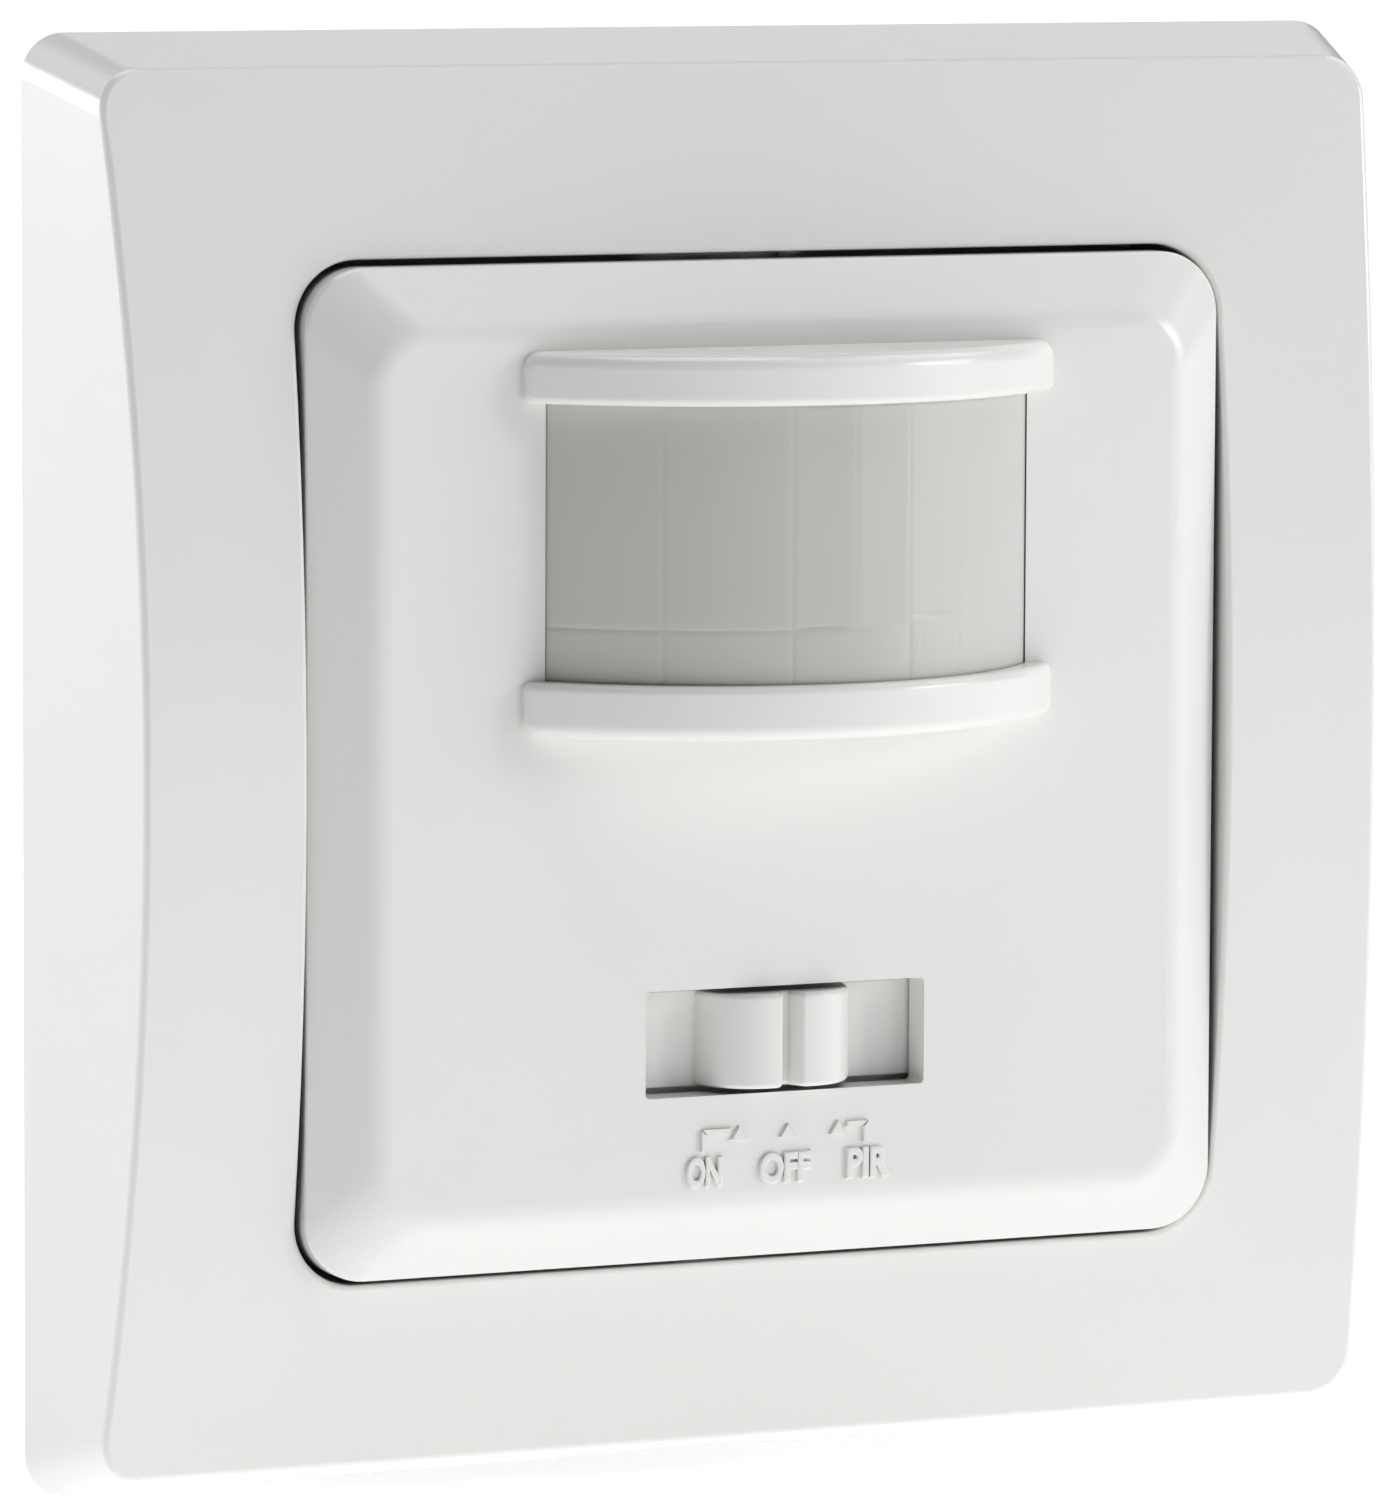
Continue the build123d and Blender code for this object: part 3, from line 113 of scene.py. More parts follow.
def graded(tree, factor, low, high, start=0.2, end=0.8):
    """A number or a colour that goes softly from low to high with a factor."""
    if not isinstance(low, tuple):
        ramp = tree.nodes.new("ShaderNodeMapRange")
        ramp.interpolation_type = "SMOOTHSTEP"
        ramp.inputs["From Min"].default_value = start
        ramp.inputs["From Max"].default_value = end
        ramp.inputs["To Min"].default_value = low
        ramp.inputs["To Max"].default_value = high
        tree.links.new(factor, ramp.inputs["Value"])
        return ramp.outputs["Result"]
    ramp = tree.nodes.new("ShaderNodeValToRGB")
    ramp.color_ramp.interpolation = "EASE"
    ramp.color_ramp.elements[0].position = start
    ramp.color_ramp.elements[1].position = end
    ramp.color_ramp.elements[0].color = (*low, 1)
    ramp.color_ramp.elements[1].color = (*high, 1)
    tree.links.new(factor, ramp.inputs["Fac"])
    return ramp.outputs["Color"]


def bumped(tree, shader, height, depth, before=None):
    """Relief of a given depth in metres on the shader's normal, over the relief before it."""
    bump = tree.nodes.new("ShaderNodeBump")
    bump.inputs["Distance"].default_value = depth
    tree.links.new(height, bump.inputs["Height"])
    if before:
        tree.links.new(before, bump.inputs["Normal"])
    tree.links.new(bump.outputs["Normal"], shader.inputs["Normal"])
    return bump.outputs["Normal"]


def scaled(colour, share):
    """A colour made darker or lighter."""
    return tuple(min(1.0, c * share) for c in colour)


# Painted shade: colour is darkened in narrow gaps, where ambient occlusion finds little open space, in
# place of the shade that falls there.
GAP_SHADE_REACH = 0.9 * MM
GAP_SHADE_TONE = 0.12
# Open share of the surroundings at which the tone is darkest, and at which it is the surface's own
GAP_SHADE_SPAN = 0.08, 0.42


def painted_gap_shade(tree, colour):
    """The colour, darkened by painted shade in narrow gaps, read from ambient occlusion."""
    open_share = tree.nodes.new("ShaderNodeAmbientOcclusion")
    open_share.samples = 8
    open_share.inputs["Distance"].default_value = GAP_SHADE_REACH
    shaded = tree.nodes.new("ShaderNodeVectorMath")
    shaded.operation = "SCALE"
    tree.links.new(colour, shaded.inputs[0])
    tone = graded(tree, open_share.outputs["AO"], GAP_SHADE_TONE, 1.0, *GAP_SHADE_SPAN)
    tree.links.new(tone, shaded.inputs["Scale"])
    return shaded.outputs["Vector"]


CLOUD_FEATURE = 14 * MM
GLOSS_FEATURE = 5 * MM
GLOSS_SPREAD = 0.08
SINK_FEATURE = 11 * MM
SINK_DEPTH = 6e-6


def moulded(name, colour, rough, cloud=0.03, grain=0.25 * MM, depth=0.8e-6, gap_shaded=False):
    """Moulded plastic: slow colour clouds, uneven gloss, a faint sink-mark wave and a fine grain, and
    painted shade in narrow gaps if asked for.
    """
    made, tree, shader = material(name, colour, rough)
    where = place(tree)
    slow = noise(tree, where, CLOUD_FEATURE, 2.0)
    tone = graded(tree, slow, scaled(colour, 1 - cloud), scaled(colour, 1 + cloud))
    # Painted shade in narrow gaps darkens the colour when asked for.
    tree.links.new(painted_gap_shade(tree, tone) if gap_shaded else tone, shader.inputs["Base Color"])
    patch = noise(tree, where, GLOSS_FEATURE, 2.0)
    gloss = graded(tree, patch, rough * (1 - GLOSS_SPREAD), rough * (1 + GLOSS_SPREAD))
    tree.links.new(gloss, shader.inputs["Roughness"])
    sinks = bumped(tree, shader, noise(tree, where, SINK_FEATURE, 0.0), SINK_DEPTH)
    bumped(tree, shader, noise(tree, where, grain, 1.0), depth, before=sinks)
    return made


DRAWN_FEATURE = 0.12 * MM
PLATING_FEATURE = 1.8 * MM
# Shares of the roughness between and on the drawn lines
DRAWN_GLOSS = 0.7, 1.35


def metal(name, colour, rough, brush=(1, 1, 1), tarnish=0.12, depth=2e-6):
    """Plated or drawn metal: fine drawn lines and cloudy plating, with painted shade in narrow gaps."""
    made, tree, shader = material(name, colour, rough, metallic=1.0)
    lines = noise(tree, place(tree, brush), DRAWN_FEATURE, 4.0, 0.6)
    clouds = noise(tree, place(tree), PLATING_FEATURE, 5.0, 0.65)
    tone = graded(tree, clouds, scaled(colour, 1 - tarnish), scaled(colour, 1 + tarnish / 2))
    # Painted shade: the plating tone is darkened in narrow gaps.
    tree.links.new(painted_gap_shade(tree, tone), shader.inputs["Base Color"])
    gloss = graded(tree, lines, *(rough * share for share in DRAWN_GLOSS))
    tree.links.new(gloss, shader.inputs["Roughness"])
    bumped(tree, shader, lines, depth)
    return made


# Painted shade: the lens tone runs from darker and greener at its left end to lighter at its right, as if
# lit from the right.
LENS_PAINTED_SHADE = (0.545, 0.546, 0.504)
LENS_LIGHT = (0.600, 0.596, 0.584)
LENS_SHADE_FADE = 13 * MM
LENS_CLOUD_FEATURE = 9 * MM
LENS_CLOUD_TONE = 0.975
LENS_GLOSS_FEATURE = 1.5 * MM
LENS_GLOSS = 0.31, 0.41
LENS_GRAIN = 0.3 * MM
LENS_GRAIN_DEPTH = 1.0e-6
LENS_MILK = 0.25
LENS_MILK_COLOUR = (0.9, 0.9, 0.8)
LENS_MILK_REACH = 0.6 * MM


def lens_sheet():
    """Milky infrared-clear sheet with painted shade: darker and a little green towards its left end,
    lighter towards its right.
    """
    made, tree, shader = material("lens_sheet", LENS_LIGHT, 0.36, ior=1.51)
    where = place(tree)
    apart = tree.nodes.new("ShaderNodeSeparateXYZ")
    tree.links.new(where, apart.inputs["Vector"])
    # Painted shade along the sheet from left to right.
    along = graded(tree, apart.outputs["X"], LENS_PAINTED_SHADE, LENS_LIGHT, -LENS_SHADE_FADE, LENS_SHADE_FADE)
    slow = graded(tree, noise(tree, where, LENS_CLOUD_FEATURE, 3.0), LENS_CLOUD_TONE, 1.0)
    mixed = tree.nodes.new("ShaderNodeVectorMath")
    mixed.operation = "SCALE"
    tree.links.new(along, mixed.inputs[0])
    tree.links.new(slow, mixed.inputs["Scale"])
    tree.links.new(mixed.outputs["Vector"], shader.inputs["Base Color"])
    gloss = graded(tree, noise(tree, where, LENS_GLOSS_FEATURE, 4.0), *LENS_GLOSS)
    tree.links.new(gloss, shader.inputs["Roughness"])
    shader.inputs["Subsurface Weight"].default_value = LENS_MILK
    shader.inputs["Subsurface Radius"].default_value = LENS_MILK_COLOUR
    shader.inputs["Subsurface Scale"].default_value = LENS_MILK_REACH
    bumped(tree, shader, noise(tree, where, LENS_GRAIN, 2.0), LENS_GRAIN_DEPTH)
    return made


BOARD_GREEN = (0.030, 0.150, 0.060)
BOARD_GREEN_LIGHT = (0.040, 0.185, 0.075)
TRACK_GREEN = (0.085, 0.290, 0.120)
TRACK_SCALE = 120.0
TRACK_SHARE = 0.035
TRACK_RISE = 20e-6
BOARD_GLOSS = 0.26, 0.40
LACQUER_FEATURE = 2 * MM


def laminate():
    """Green lacquered circuit board with copper tracks showing through the lacquer."""
    made, tree, shader = material("laminate", BOARD_GREEN, 0.32, coat=0.4, coat_rough=0.15)
    where = place(tree)
    cells = tree.nodes.new("ShaderNodeTexBrick")
    cells.inputs["Scale"].default_value = TRACK_SCALE
    cells.inputs["Mortar Size"].default_value = TRACK_SHARE
    cells.inputs["Color1"].default_value = (*BOARD_GREEN, 1)
    cells.inputs["Color2"].default_value = (*BOARD_GREEN_LIGHT, 1)
    cells.inputs["Mortar"].default_value = (*TRACK_GREEN, 1)
    turn = tree.nodes.new("ShaderNodeMapping")
    turn.inputs["Rotation"].default_value = (math.pi / 2, 0, 0)
    tree.links.new(where, turn.inputs["Vector"])
    tree.links.new(turn.outputs["Vector"], cells.inputs["Vector"])
    tree.links.new(cells.outputs["Color"], shader.inputs["Base Color"])
    gloss = graded(tree, noise(tree, where, LACQUER_FEATURE), *BOARD_GLOSS)
    tree.links.new(gloss, shader.inputs["Roughness"])
    bumped(tree, shader, cells.outputs["Fac"], TRACK_RISE)
    return made


# Range of the noise over which the tone turns, and shares of the roughness at its two ends
SPECKLE_SPAN = 0.35, 0.65
SPECKLE_GLOSS = 0.85, 1.15
SPECKLE_DEPTH = 2e-6


def speckled(name, low, high, rough, feature, coat=0.0):
    """Dipped lacquer, sleeve or resin: two tones in fine speckles under a slight coat."""
    made, tree, shader = material(name, low, rough, coat=coat)
    where = place(tree)
    spots = noise(tree, where, feature, 5.0, 0.6)
    tree.links.new(graded(tree, spots, low, high, *SPECKLE_SPAN), shader.inputs["Base Color"])
    gloss = graded(tree, spots, *(rough * share for share in SPECKLE_GLOSS))
    tree.links.new(gloss, shader.inputs["Roughness"])
    bumped(tree, shader, spots, SPECKLE_DEPTH)
    return made


COVER_WHITE = (0.812, 0.804, 0.790)
FINISHES = {
    # Cover and knob carry painted shade in their narrow gaps.
    "cover_plastic": moulded("cover_white", COVER_WHITE, 0.21, cloud=0.006, gap_shaded=True),
    "knob_plastic": moulded("knob_white", COVER_WHITE, 0.21, cloud=0.006, gap_shaded=True),
    "lens_film": lens_sheet(),
    "inner_plastic": moulded("inner_white", (0.66, 0.66, 0.64), 0.45, grain=0.2 * MM, depth=3e-6),
    "housing_plastic": moulded(
        "housing_grey", (0.30, 0.31, 0.32), 0.52, cloud=0.06, grain=0.18 * MM, depth=5e-6,
    ),
    "zinc_steel": metal("zinc_sheet", (0.53, 0.54, 0.56), 0.30, brush=(6, 1, 1)),
    "screw_steel": metal("turned_steel", (0.46, 0.46, 0.47), 0.27, tarnish=0.1, depth=0.7e-6),
    "tin_plate": metal("tin_sheet", (0.70, 0.70, 0.69), 0.24, brush=(1, 1, 6)),
    "switch_base": speckled("phenolic_sheet", (0.16, 0.07, 0.025), (0.25, 0.12, 0.05), 0.5, 0.5 * MM),
    "dark_plastic": moulded(
        "black_moulding", (0.018, 0.018, 0.020), 0.48, cloud=0.1, grain=0.15 * MM, depth=5e-6,
    ),
    "circuit_board": laminate(),
    "spacer_plastic": moulded("natural_nylon", (0.70, 0.67, 0.58), 0.42, cloud=0.04),
    "contact_brass": metal("rolled_brass", (0.80, 0.60, 0.28), 0.25, brush=(1, 5, 1), tarnish=0.22),
    "infrared_filter": speckled(
        "infrared_filter", (0.010, 0.010, 0.014), (0.018, 0.018, 0.024), 0.08, 2 * MM, coat=1.0,
    ),
    "photocell": speckled(
        "photocell_resin", (0.50, 0.16, 0.05), (0.62, 0.26, 0.09), 0.35, 0.6 * MM, coat=0.5,
    ),
    "trimmer_body": moulded("trimmer_blue", (0.020, 0.055, 0.30), 0.42, cloud=0.05),
    "trimmer_rotor": moulded("trimmer_ivory", (0.75, 0.70, 0.52), 0.40, cloud=0.04),
    "relay_case": moulded("relay_blue", (0.012, 0.028, 0.10), 0.26, cloud=0.08),
    "capacitor_box": moulded("capacitor_yellow", (0.62, 0.42, 0.045), 0.38, cloud=0.04),
    "capacitor_sleeve": speckled(
        "shrunk_sleeve", (0.010, 0.012, 0.022), (0.020, 0.022, 0.036), 0.22, 0.8 * MM, coat=0.4,
    ),
    "resistor_body": speckled(
        "resistor_lacquer", (0.20, 0.38, 0.48), (0.28, 0.47, 0.57), 0.30, 0.4 * MM, coat=0.4,
    ),
    "varistor_body": speckled(
        "varistor_lacquer", (0.012, 0.055, 0.28), (0.022, 0.085, 0.36), 0.28, 0.5 * MM, coat=0.5,
    ),
    "terminal_plastic": moulded(
        "terminal_green", (0.022, 0.125, 0.042), 0.40, cloud=0.06, grain=0.2 * MM, depth=3e-6,
    ),
}
SLOT_OF = {part["node"]: part["material_slot"] for part in frame["record"]["subparts"]}


def finish(piece, slot_name):
    """The finish of one of the record's slots on a piece."""
    piece.data.materials.clear()
    piece.data.materials.append(FINISHES[slot_name])


for node_name, node in nodes.items():
    finish(node, SLOT_OF[node_name])


# Building pieces

WELD_DISTANCE = 1e-7
SHARP_ANGLE = 30


def piece_from(name, mesh_maker, body, slot_name, replaced=(), sharp_angle=SHARP_ANGLE):
    """A new piece whose mesh a function fills, riding on a body, and sharp at edges over an angle."""
    mesh = bpy.data.meshes.new(name)
    shape = bmesh.new()
    mesh_maker(shape)
    bmesh.ops.remove_doubles(shape, verts=shape.verts, dist=WELD_DISTANCE)
    bmesh.ops.recalc_face_normals(shape, faces=shape.faces)
    shape.to_mesh(mesh)
    shape.free()
    mesh.shade_smooth()
    mesh.set_sharp_from_angle(angle=math.radians(sharp_angle))
    piece = bpy.data.objects.new(name, mesh)
    bpy.context.scene.collection.objects.link(piece)
    finish(piece, slot_name)
    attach(piece, body)
    if replaced:
        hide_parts(*replaced)
    return piece


def skin(shape, rows, closed_u=False):
    """Quads between rows of points; each row has as many points."""
    grid = [[shape.verts.new(p) for p in row] for row in rows]
    count = len(rows[0])
    for first, second in zip(grid, grid[1:]):
        for i in range(count if closed_u else count - 1):
            j = (i + 1) % count
            shape.faces.new((first[i], first[j], second[j], second[i]))
    return grid


# Lens with its Fresnel relief

LENS_AXIS_REACH = 1.43 * MM
LENS_RADIUS = 18.12 * MM
LENS_HALF_CHORD = 14.595 * MM
LENS_THICKNESS = 0.7 * MM
LENS_SHARP_ANGLE = 12
# Angles about the lens axis, from left to right, at which two upper segments meet, and two lower ones
UPPER_SEAMS = [math.radians(a) for a in (-60, -31.8, -9.4, 2.4, 13.4, 25.5, 60)]
LOWER_SEAMS = [math.radians(a) for a in (-60, -31.8, -9.4, 13.4, 60)]
# Height at which the two rows meet, and the angles between which they meet a little higher
ROW_SPLIT = 8.05 * MM
SHORT_SEGMENT = math.radians(13.4), math.radians(25.5)
SHORT_SPLIT = 8.55 * MM
# Share by which a segment is flat rather than curved, and the half angle from which it follows the curve
FLATNESS = 0.75
FLAT_HALF = math.radians(8)
SEAM_HALF_WIDTH = 0.24 * MM
SEAM_DEPTH = 0.036 * MM
# First and last angle, and lowest and highest place, of the fine ridges
RIDGE_FIELD = math.radians(14.5), math.radians(20.5), 5.0 * MM, 7.8 * MM
RIDGE_PITCH = 0.42 * MM
RIDGE_SLANT = 0.25
RIDGE_HEIGHT = 0.02 * MM
RING_PITCH = 0.9 * MM
RING_DEPTH = 0.09 * MM
LENS_COLUMNS = 300
LENS_LEVELS = 110


def row_split(angle):
    """Height at which the two rows of segments meet; the last upper segment has no lower one."""
    if angle > SHORT_SEGMENT[1]:
        return 0.0
    return SHORT_SPLIT if angle > SHORT_SEGMENT[0] else ROW_SPLIT


def lens_segment(angle, height):
    """Angles of the seams left and right of a place on the lens, and whether it is in the upper row."""
    upper = height > row_split(angle)
    seams = UPPER_SEAMS if upper else LOWER_SEAMS
    number = sum(seam <= angle for seam in seams[1:-1])
    return seams[number], seams[number + 1], upper


def ridges(angle, height):
    """Height of the fine slanted ridges low on the right of the sheet."""
    start, end, low, high = RIDGE_FIELD
    if not (start < angle < end and low < height < high):
        return 0.0
    phase = ((angle - start) * LENS_RADIUS - RIDGE_SLANT * (height - low)) / RIDGE_PITCH
    return RIDGE_HEIGHT * (0.5 - 0.5 * math.cos(FULL_TURN * phase))


def lens_front(angle, height):
    """Radius of the outer face: a narrow segment is nearly flat, and a soft seam runs round each."""
    left, right, _ = lens_segment(angle, height)
    half = (right - left) / 2
    chord = math.cos(half) / math.cos(min(half, abs(angle - left - half)))
    flat = LENS_RADIUS * (1 + FLATNESS * (chord - 1)) if half < FLAT_HALF else LENS_RADIUS
    to_seam = min(angle - left, right - angle) * LENS_RADIUS
    near = min(to_seam, abs(height - row_split(angle)))
    groove = max(0.0, 1 - near / SEAM_HALF_WIDTH)
    return flat - SEAM_DEPTH * groove * groove * (3 - 2 * groove) - RIDGE_HEIGHT + ridges(angle, height)


def lens_back(angle, height, low, high):
    """Radius of the inner face, cut with the stepped rings of a Fresnel lens in each segment."""
    left, right, upper = lens_segment(angle, height)
    split = row_split(angle)
    middle_height = (split + high) / 2 if upper else (split + low) / 2
    ring = math.hypot((angle - (left + right) / 2) * LENS_RADIUS, height - middle_height) / RING_PITCH
    return LENS_RADIUS - LENS_THICKNESS + RING_DEPTH * (ring - math.floor(ring))


def on_lens(radius, angle, height):
    """A point at a radius and an angle about the lens axis."""
    return radius * math.sin(angle), -(LENS_AXIS_REACH + radius * math.cos(angle)), height


def lens_mesh(shape):
    """Curved sheet with its two cut faces, straight side walls and a foot on each side."""
    low, high, _, size = span("fresnel_lens")
    outer = math.asin(LENS_HALF_CHORD / LENS_RADIUS)
    inner = math.asin((LENS_HALF_CHORD - LENS_THICKNESS) / (LENS_RADIUS - LENS_THICKNESS))
    shares = [i / LENS_COLUMNS for i in range(LENS_COLUMNS + 1)]
    rows = []
    for level in range(LENS_LEVELS + 1):
        height = low.z + size.z * level / LENS_LEVELS
        row = [(-LENS_HALF_CHORD, high.y, height)]
        for share in shares:
            angle = outer * (2 * share - 1)
            row.append(on_lens(lens_front(angle, height), angle, height))
        row += [(LENS_HALF_CHORD, high.y, height), (LENS_HALF_CHORD - LENS_THICKNESS, high.y, height)]
        for share in shares:
            angle = inner * (1 - 2 * share)
            row.append(on_lens(lens_back(angle, height, low.z, high.z), angle, height))
        row.append((LENS_THICKNESS - LENS_HALF_CHORD, high.y, height))
        rows.append(row)
    grid = skin(shape, rows, closed_u=True)
    for end in (grid[0], grid[-1]):
        strip_end(shape, end)
    for side in (-1, 1):
        lens_foot(shape, side, high)


def strip_end(shape, ring):
    """Closes a ring that runs out along one face and back along the other with quads across it."""
    count = len(ring)
    for i in range(count // 2 - 1):
        shape.faces.new((ring[i], ring[i + 1], ring[count - 2 - i], ring[count - 1 - i]))


FOOT_MIDDLE = 12.65 * MM
FOOT_HALF_HEIGHT = 7.55 * MM
FOOT_THICKNESS = 0.8 * MM
FOOT_ROUND = 0.15 * MM


def lens_foot(shape, side, high):
    """Foot that is clamped behind the plate, with rounded edges."""
    inner, outer = LENS_HALF_CHORD - LENS_THICKNESS / 2, high.x
    steps = [
        (FOOT_ROUND, 0), (0, FOOT_ROUND), (0, FOOT_THICKNESS - FOOT_ROUND), (FOOT_ROUND, FOOT_THICKNESS),
    ]
    rows = []
    for inset, depth in steps:
        y = high.y - FOOT_THICKNESS + depth
        x0, x1 = side * inner, side * (outer - inset)
        z0, z1 = FOOT_MIDDLE - FOOT_HALF_HEIGHT + inset, FOOT_MIDDLE + FOOT_HALF_HEIGHT - inset
        rows.append([(x0, y, z0), (x1, y, z0), (x1, y, z1), (x0, y, z1)])
    grid = skin(shape, rows, closed_u=True)
    shape.faces.new(grid[0])
    shape.faces.new(grid[-1])


piece_from("lens", lens_mesh, "device", "lens_film", ["fresnel_lens"], LENS_SHARP_ANGLE)


# Raised words and pointers under the slot

FACE = -12.4 * MM
RISE = 0.22 * MM
WORD_MIDDLE = -22.28 * MM
WORD_HEIGHT = 1.75 * MM
# Piece, text, middle and width of each word, in millimetres
WORDS = [
    ("word_on", "ON", -4.95, 2.15),
    ("word_off", "OFF", -0.05, 3.15),
    ("word_pir", "PIR", 5.05, 2.75),
]
POLE_HEIGHT = 1.5 * MM
# Piece, text, pole and width of each mark over a terminal screw
POLES = [
    ("pole_line", "L", "line", 0.9),
    ("pole_neutral", "N", "neutral", 1.15),
    ("pole_load", "1", "load", 0.6),
]
# Middle, height and half width of the three pointers, and their leader lines, in millimetres
POINTER_X = -2.87, 0.11, 3.15
POINTER_LOW, POINTER_TIP = -20.60, -19.82
POINTER_HALF_WIDTH = 0.5
LEADER_Z = -20.08
LEADER_LOW = -21.15
LEADER_WIDTH = 0.3
LEADER_X = -4.98, 4.85
MARK_SLOPE = 0.09
# Inset and rise of a mark's rings from its foot to its top, as shares of its slope and rise
MARK_RINGS = (0.0, -1.0), (0.0, 0.2), (0.35, 0.7), (1.0, 1.0)
# Thickening, half depth and edge rounding of the letters, in shares of the font's size
LETTER_OFFSET, LETTER_DEPTH, LETTER_ROUND = 0.012, 0.04, 0.05
LETTER_ROUND_STEPS = 3
LETTER_SHARP_ANGLE = 50


def letters(name, text, middle, width, height, outward, slot_name):
    """A raised word with rounded strokes on a face whose outward direction along Y is -1 or 1."""
    font = bpy.data.curves.new(name, "FONT")
    font.body = text
    font.size = 1.0
    font.offset = LETTER_OFFSET
    font.extrude = LETTER_DEPTH
    font.bevel_depth = LETTER_ROUND
    font.bevel_resolution = LETTER_ROUND_STEPS
    holder = bpy.data.objects.new(name + "_curve", font)
    bpy.context.scene.collection.objects.link(holder)
    bpy.context.view_layer.update()
    mesh = bpy.data.meshes.new_from_object(holder.evaluated_get(bpy.context.evaluated_depsgraph_get()))
    bpy.data.objects.remove(holder)
    lows = [min(v.co[axis] for v in mesh.vertices) for axis in range(3)]
    sizes = [max(v.co[axis] for v in mesh.vertices) - lows[axis] for axis in range(3)]
    for v in mesh.vertices:
        across, upward, raise_share = ((v.co[axis] - lows[axis]) / sizes[axis] for axis in range(3))
        depth = outward * RISE * (2 * raise_share - 1)
        v.co = middle + Vector((-outward * (across - 0.5) * width, depth, (upward - 0.5) * height))
    mesh.name = name
    mesh.shade_smooth()
    mesh.set_sharp_from_angle(angle=math.radians(LETTER_SHARP_ANGLE))
    piece = bpy.data.objects.new(name, mesh)
    bpy.context.scene.collection.objects.link(piece)
    finish(piece, slot_name)
    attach(piece, "device")


for name, word, x, width in WORDS:
    spot = Vector((x * MM, FACE, WORD_MIDDLE))
    letters(name, word, spot, width * MM, WORD_HEIGHT, -1, "cover_plastic")
block_high = span("terminal_block")[1]
for name, word, pole, width in POLES:
    _, screw_high, screw_middle, _ = span("terminal_screw_" + pole)
    spot = Vector((screw_middle.x, block_high.y, (screw_high.z + block_high.z) / 2 + RISE))
    letters(name, word, spot, width * MM, POLE_HEIGHT, 1, "terminal_plastic")


def raised(shape, outline):
    """A low raised mark with sloping, rounded sides from an outline in millimetres."""
    middle_x = sum(p[0] for p in outline) / len(outline)
    middle_z = sum(p[1] for p in outline) / len(outline)
    rows = []
    for inset, rise in MARK_RINGS:
        row = []
        for x, z in outline:
            across, upward = x - middle_x, z - middle_z
            share = 1 - inset * MARK_SLOPE / math.hypot(across, upward)
            row.append((
                (middle_x + across * share) * MM, FACE - rise * RISE, (middle_z + upward * share) * MM,
            ))
        rows.append(row)
    grid = skin(shape, rows, closed_u=True)
    shape.faces.new(grid[0])
    shape.faces.new(grid[-1])


def pointer(shape, x):
    """A small triangle that points up to one place of the knob."""
    left, right = x - POINTER_HALF_WIDTH, x + POINTER_HALF_WIDTH
    raised(shape, [(left, POINTER_LOW), (right, POINTER_LOW), (x, POINTER_TIP)])


def leader(shape, outer, inner):
    """A line up from a word and across to its pointer, with a mitred corner."""
    side = math.copysign(LEADER_WIDTH / 2, outer)
    top, bottom = LEADER_Z + LEADER_WIDTH / 2, LEADER_Z - LEADER_WIDTH / 2
    far, near = outer + side, outer - side
    raised(shape, [(far, LEADER_LOW), (near, LEADER_LOW), (near, bottom), (far, top)])
    raised(shape, [(far, top), (near, bottom), (inner, bottom), (inner, top)])


def mark_mesh(number):
    """Pointer of one word, with the leader of an outer word."""
    def fill(shape):
        x = POINTER_X[number]
        pointer(shape, x)
        if number != 1:
            outer = LEADER_X[number // 2]
            leader(shape, outer, x + math.copysign(POINTER_HALF_WIDTH, outer))
    return fill


for number, name in enumerate(("mark_on", "mark_off", "mark_pir")):
    piece_from(name, mark_mesh(number), "device", "cover_plastic")


# Screws with a slot and a cut thread

# Radius and depth of the head's rings from its crown down, as shares of its own
HEAD_PROFILE_SHARES = [(0.55, 0.0), (0.80, 0.04), (0.93, 0.16), (1.0, 0.42), (1.0, 0.92), (0.96, 1.0)]
SCREW_STEPS = 28
ROWS_PER_TURN = 8
ROOT_SHARE = 0.8
# Rise of a flank over half a turn, and the part of it that is cut off at the root and at the crest
FLANK_RISE, FLANK_CUT = 1.4, 0.2
NECK_LENGTH = 0.5 * MM
TIP_LENGTH = 0.4 * MM
TIP_SHARE = 0.72
SLOT_WIDTH = 0.6 * MM
SLOT_DEPTH = 1.05 * MM


def flank(turns):
    """Height share of the thread's flat-topped section at a place counted in turns."""
    peak = 1 - abs(2 * (turns - math.floor(turns)) - 1)
    return min(1.0, max(0.0, FLANK_RISE * peak - FLANK_CUT))


def screw_rows(centre, direction, head, shank, length, pitch):
    """Rings of a screw from its head to its tip; head and shank hold a radius and a length."""
    head_radius, head_height = head
    root = shank * ROOT_SHARE
    rings = []
    for share, depth in HEAD_PROFILE_SHARES:
        rings.append((lambda angle, share=share: share * head_radius, depth * head_height))
    start, end = head_height + NECK_LENGTH, length - TIP_LENGTH
    rings.append((lambda angle: shank, head_height))
    rings.append((lambda angle: root, head_height + NECK_LENGTH / 2))
    count = round((end - start) / pitch * ROWS_PER_TURN)
    for step in range(count + 1):
        along = start + (end - start) * step / count
        fade = min(1.0, (along - start) / pitch, (end - along) / pitch)

        def cut(angle, along=along, fade=fade):
            return root + (shank - root) * fade * flank(along / pitch - angle / FULL_TURN)
        rings.append((cut, along))
    rings.append((lambda angle: shank * TIP_SHARE, length))
    rows = []
    for radius_at, depth in rings:
        row = []
        for step in range(SCREW_STEPS):
            angle = FULL_TURN * step / SCREW_STEPS
            across, upward = radius_at(angle) * math.cos(angle), radius_at(angle) * math.sin(angle)
            row.append((centre[0] + across, centre[1] + direction * depth, centre[2] + upward))
        rows.append(row)
    return rows


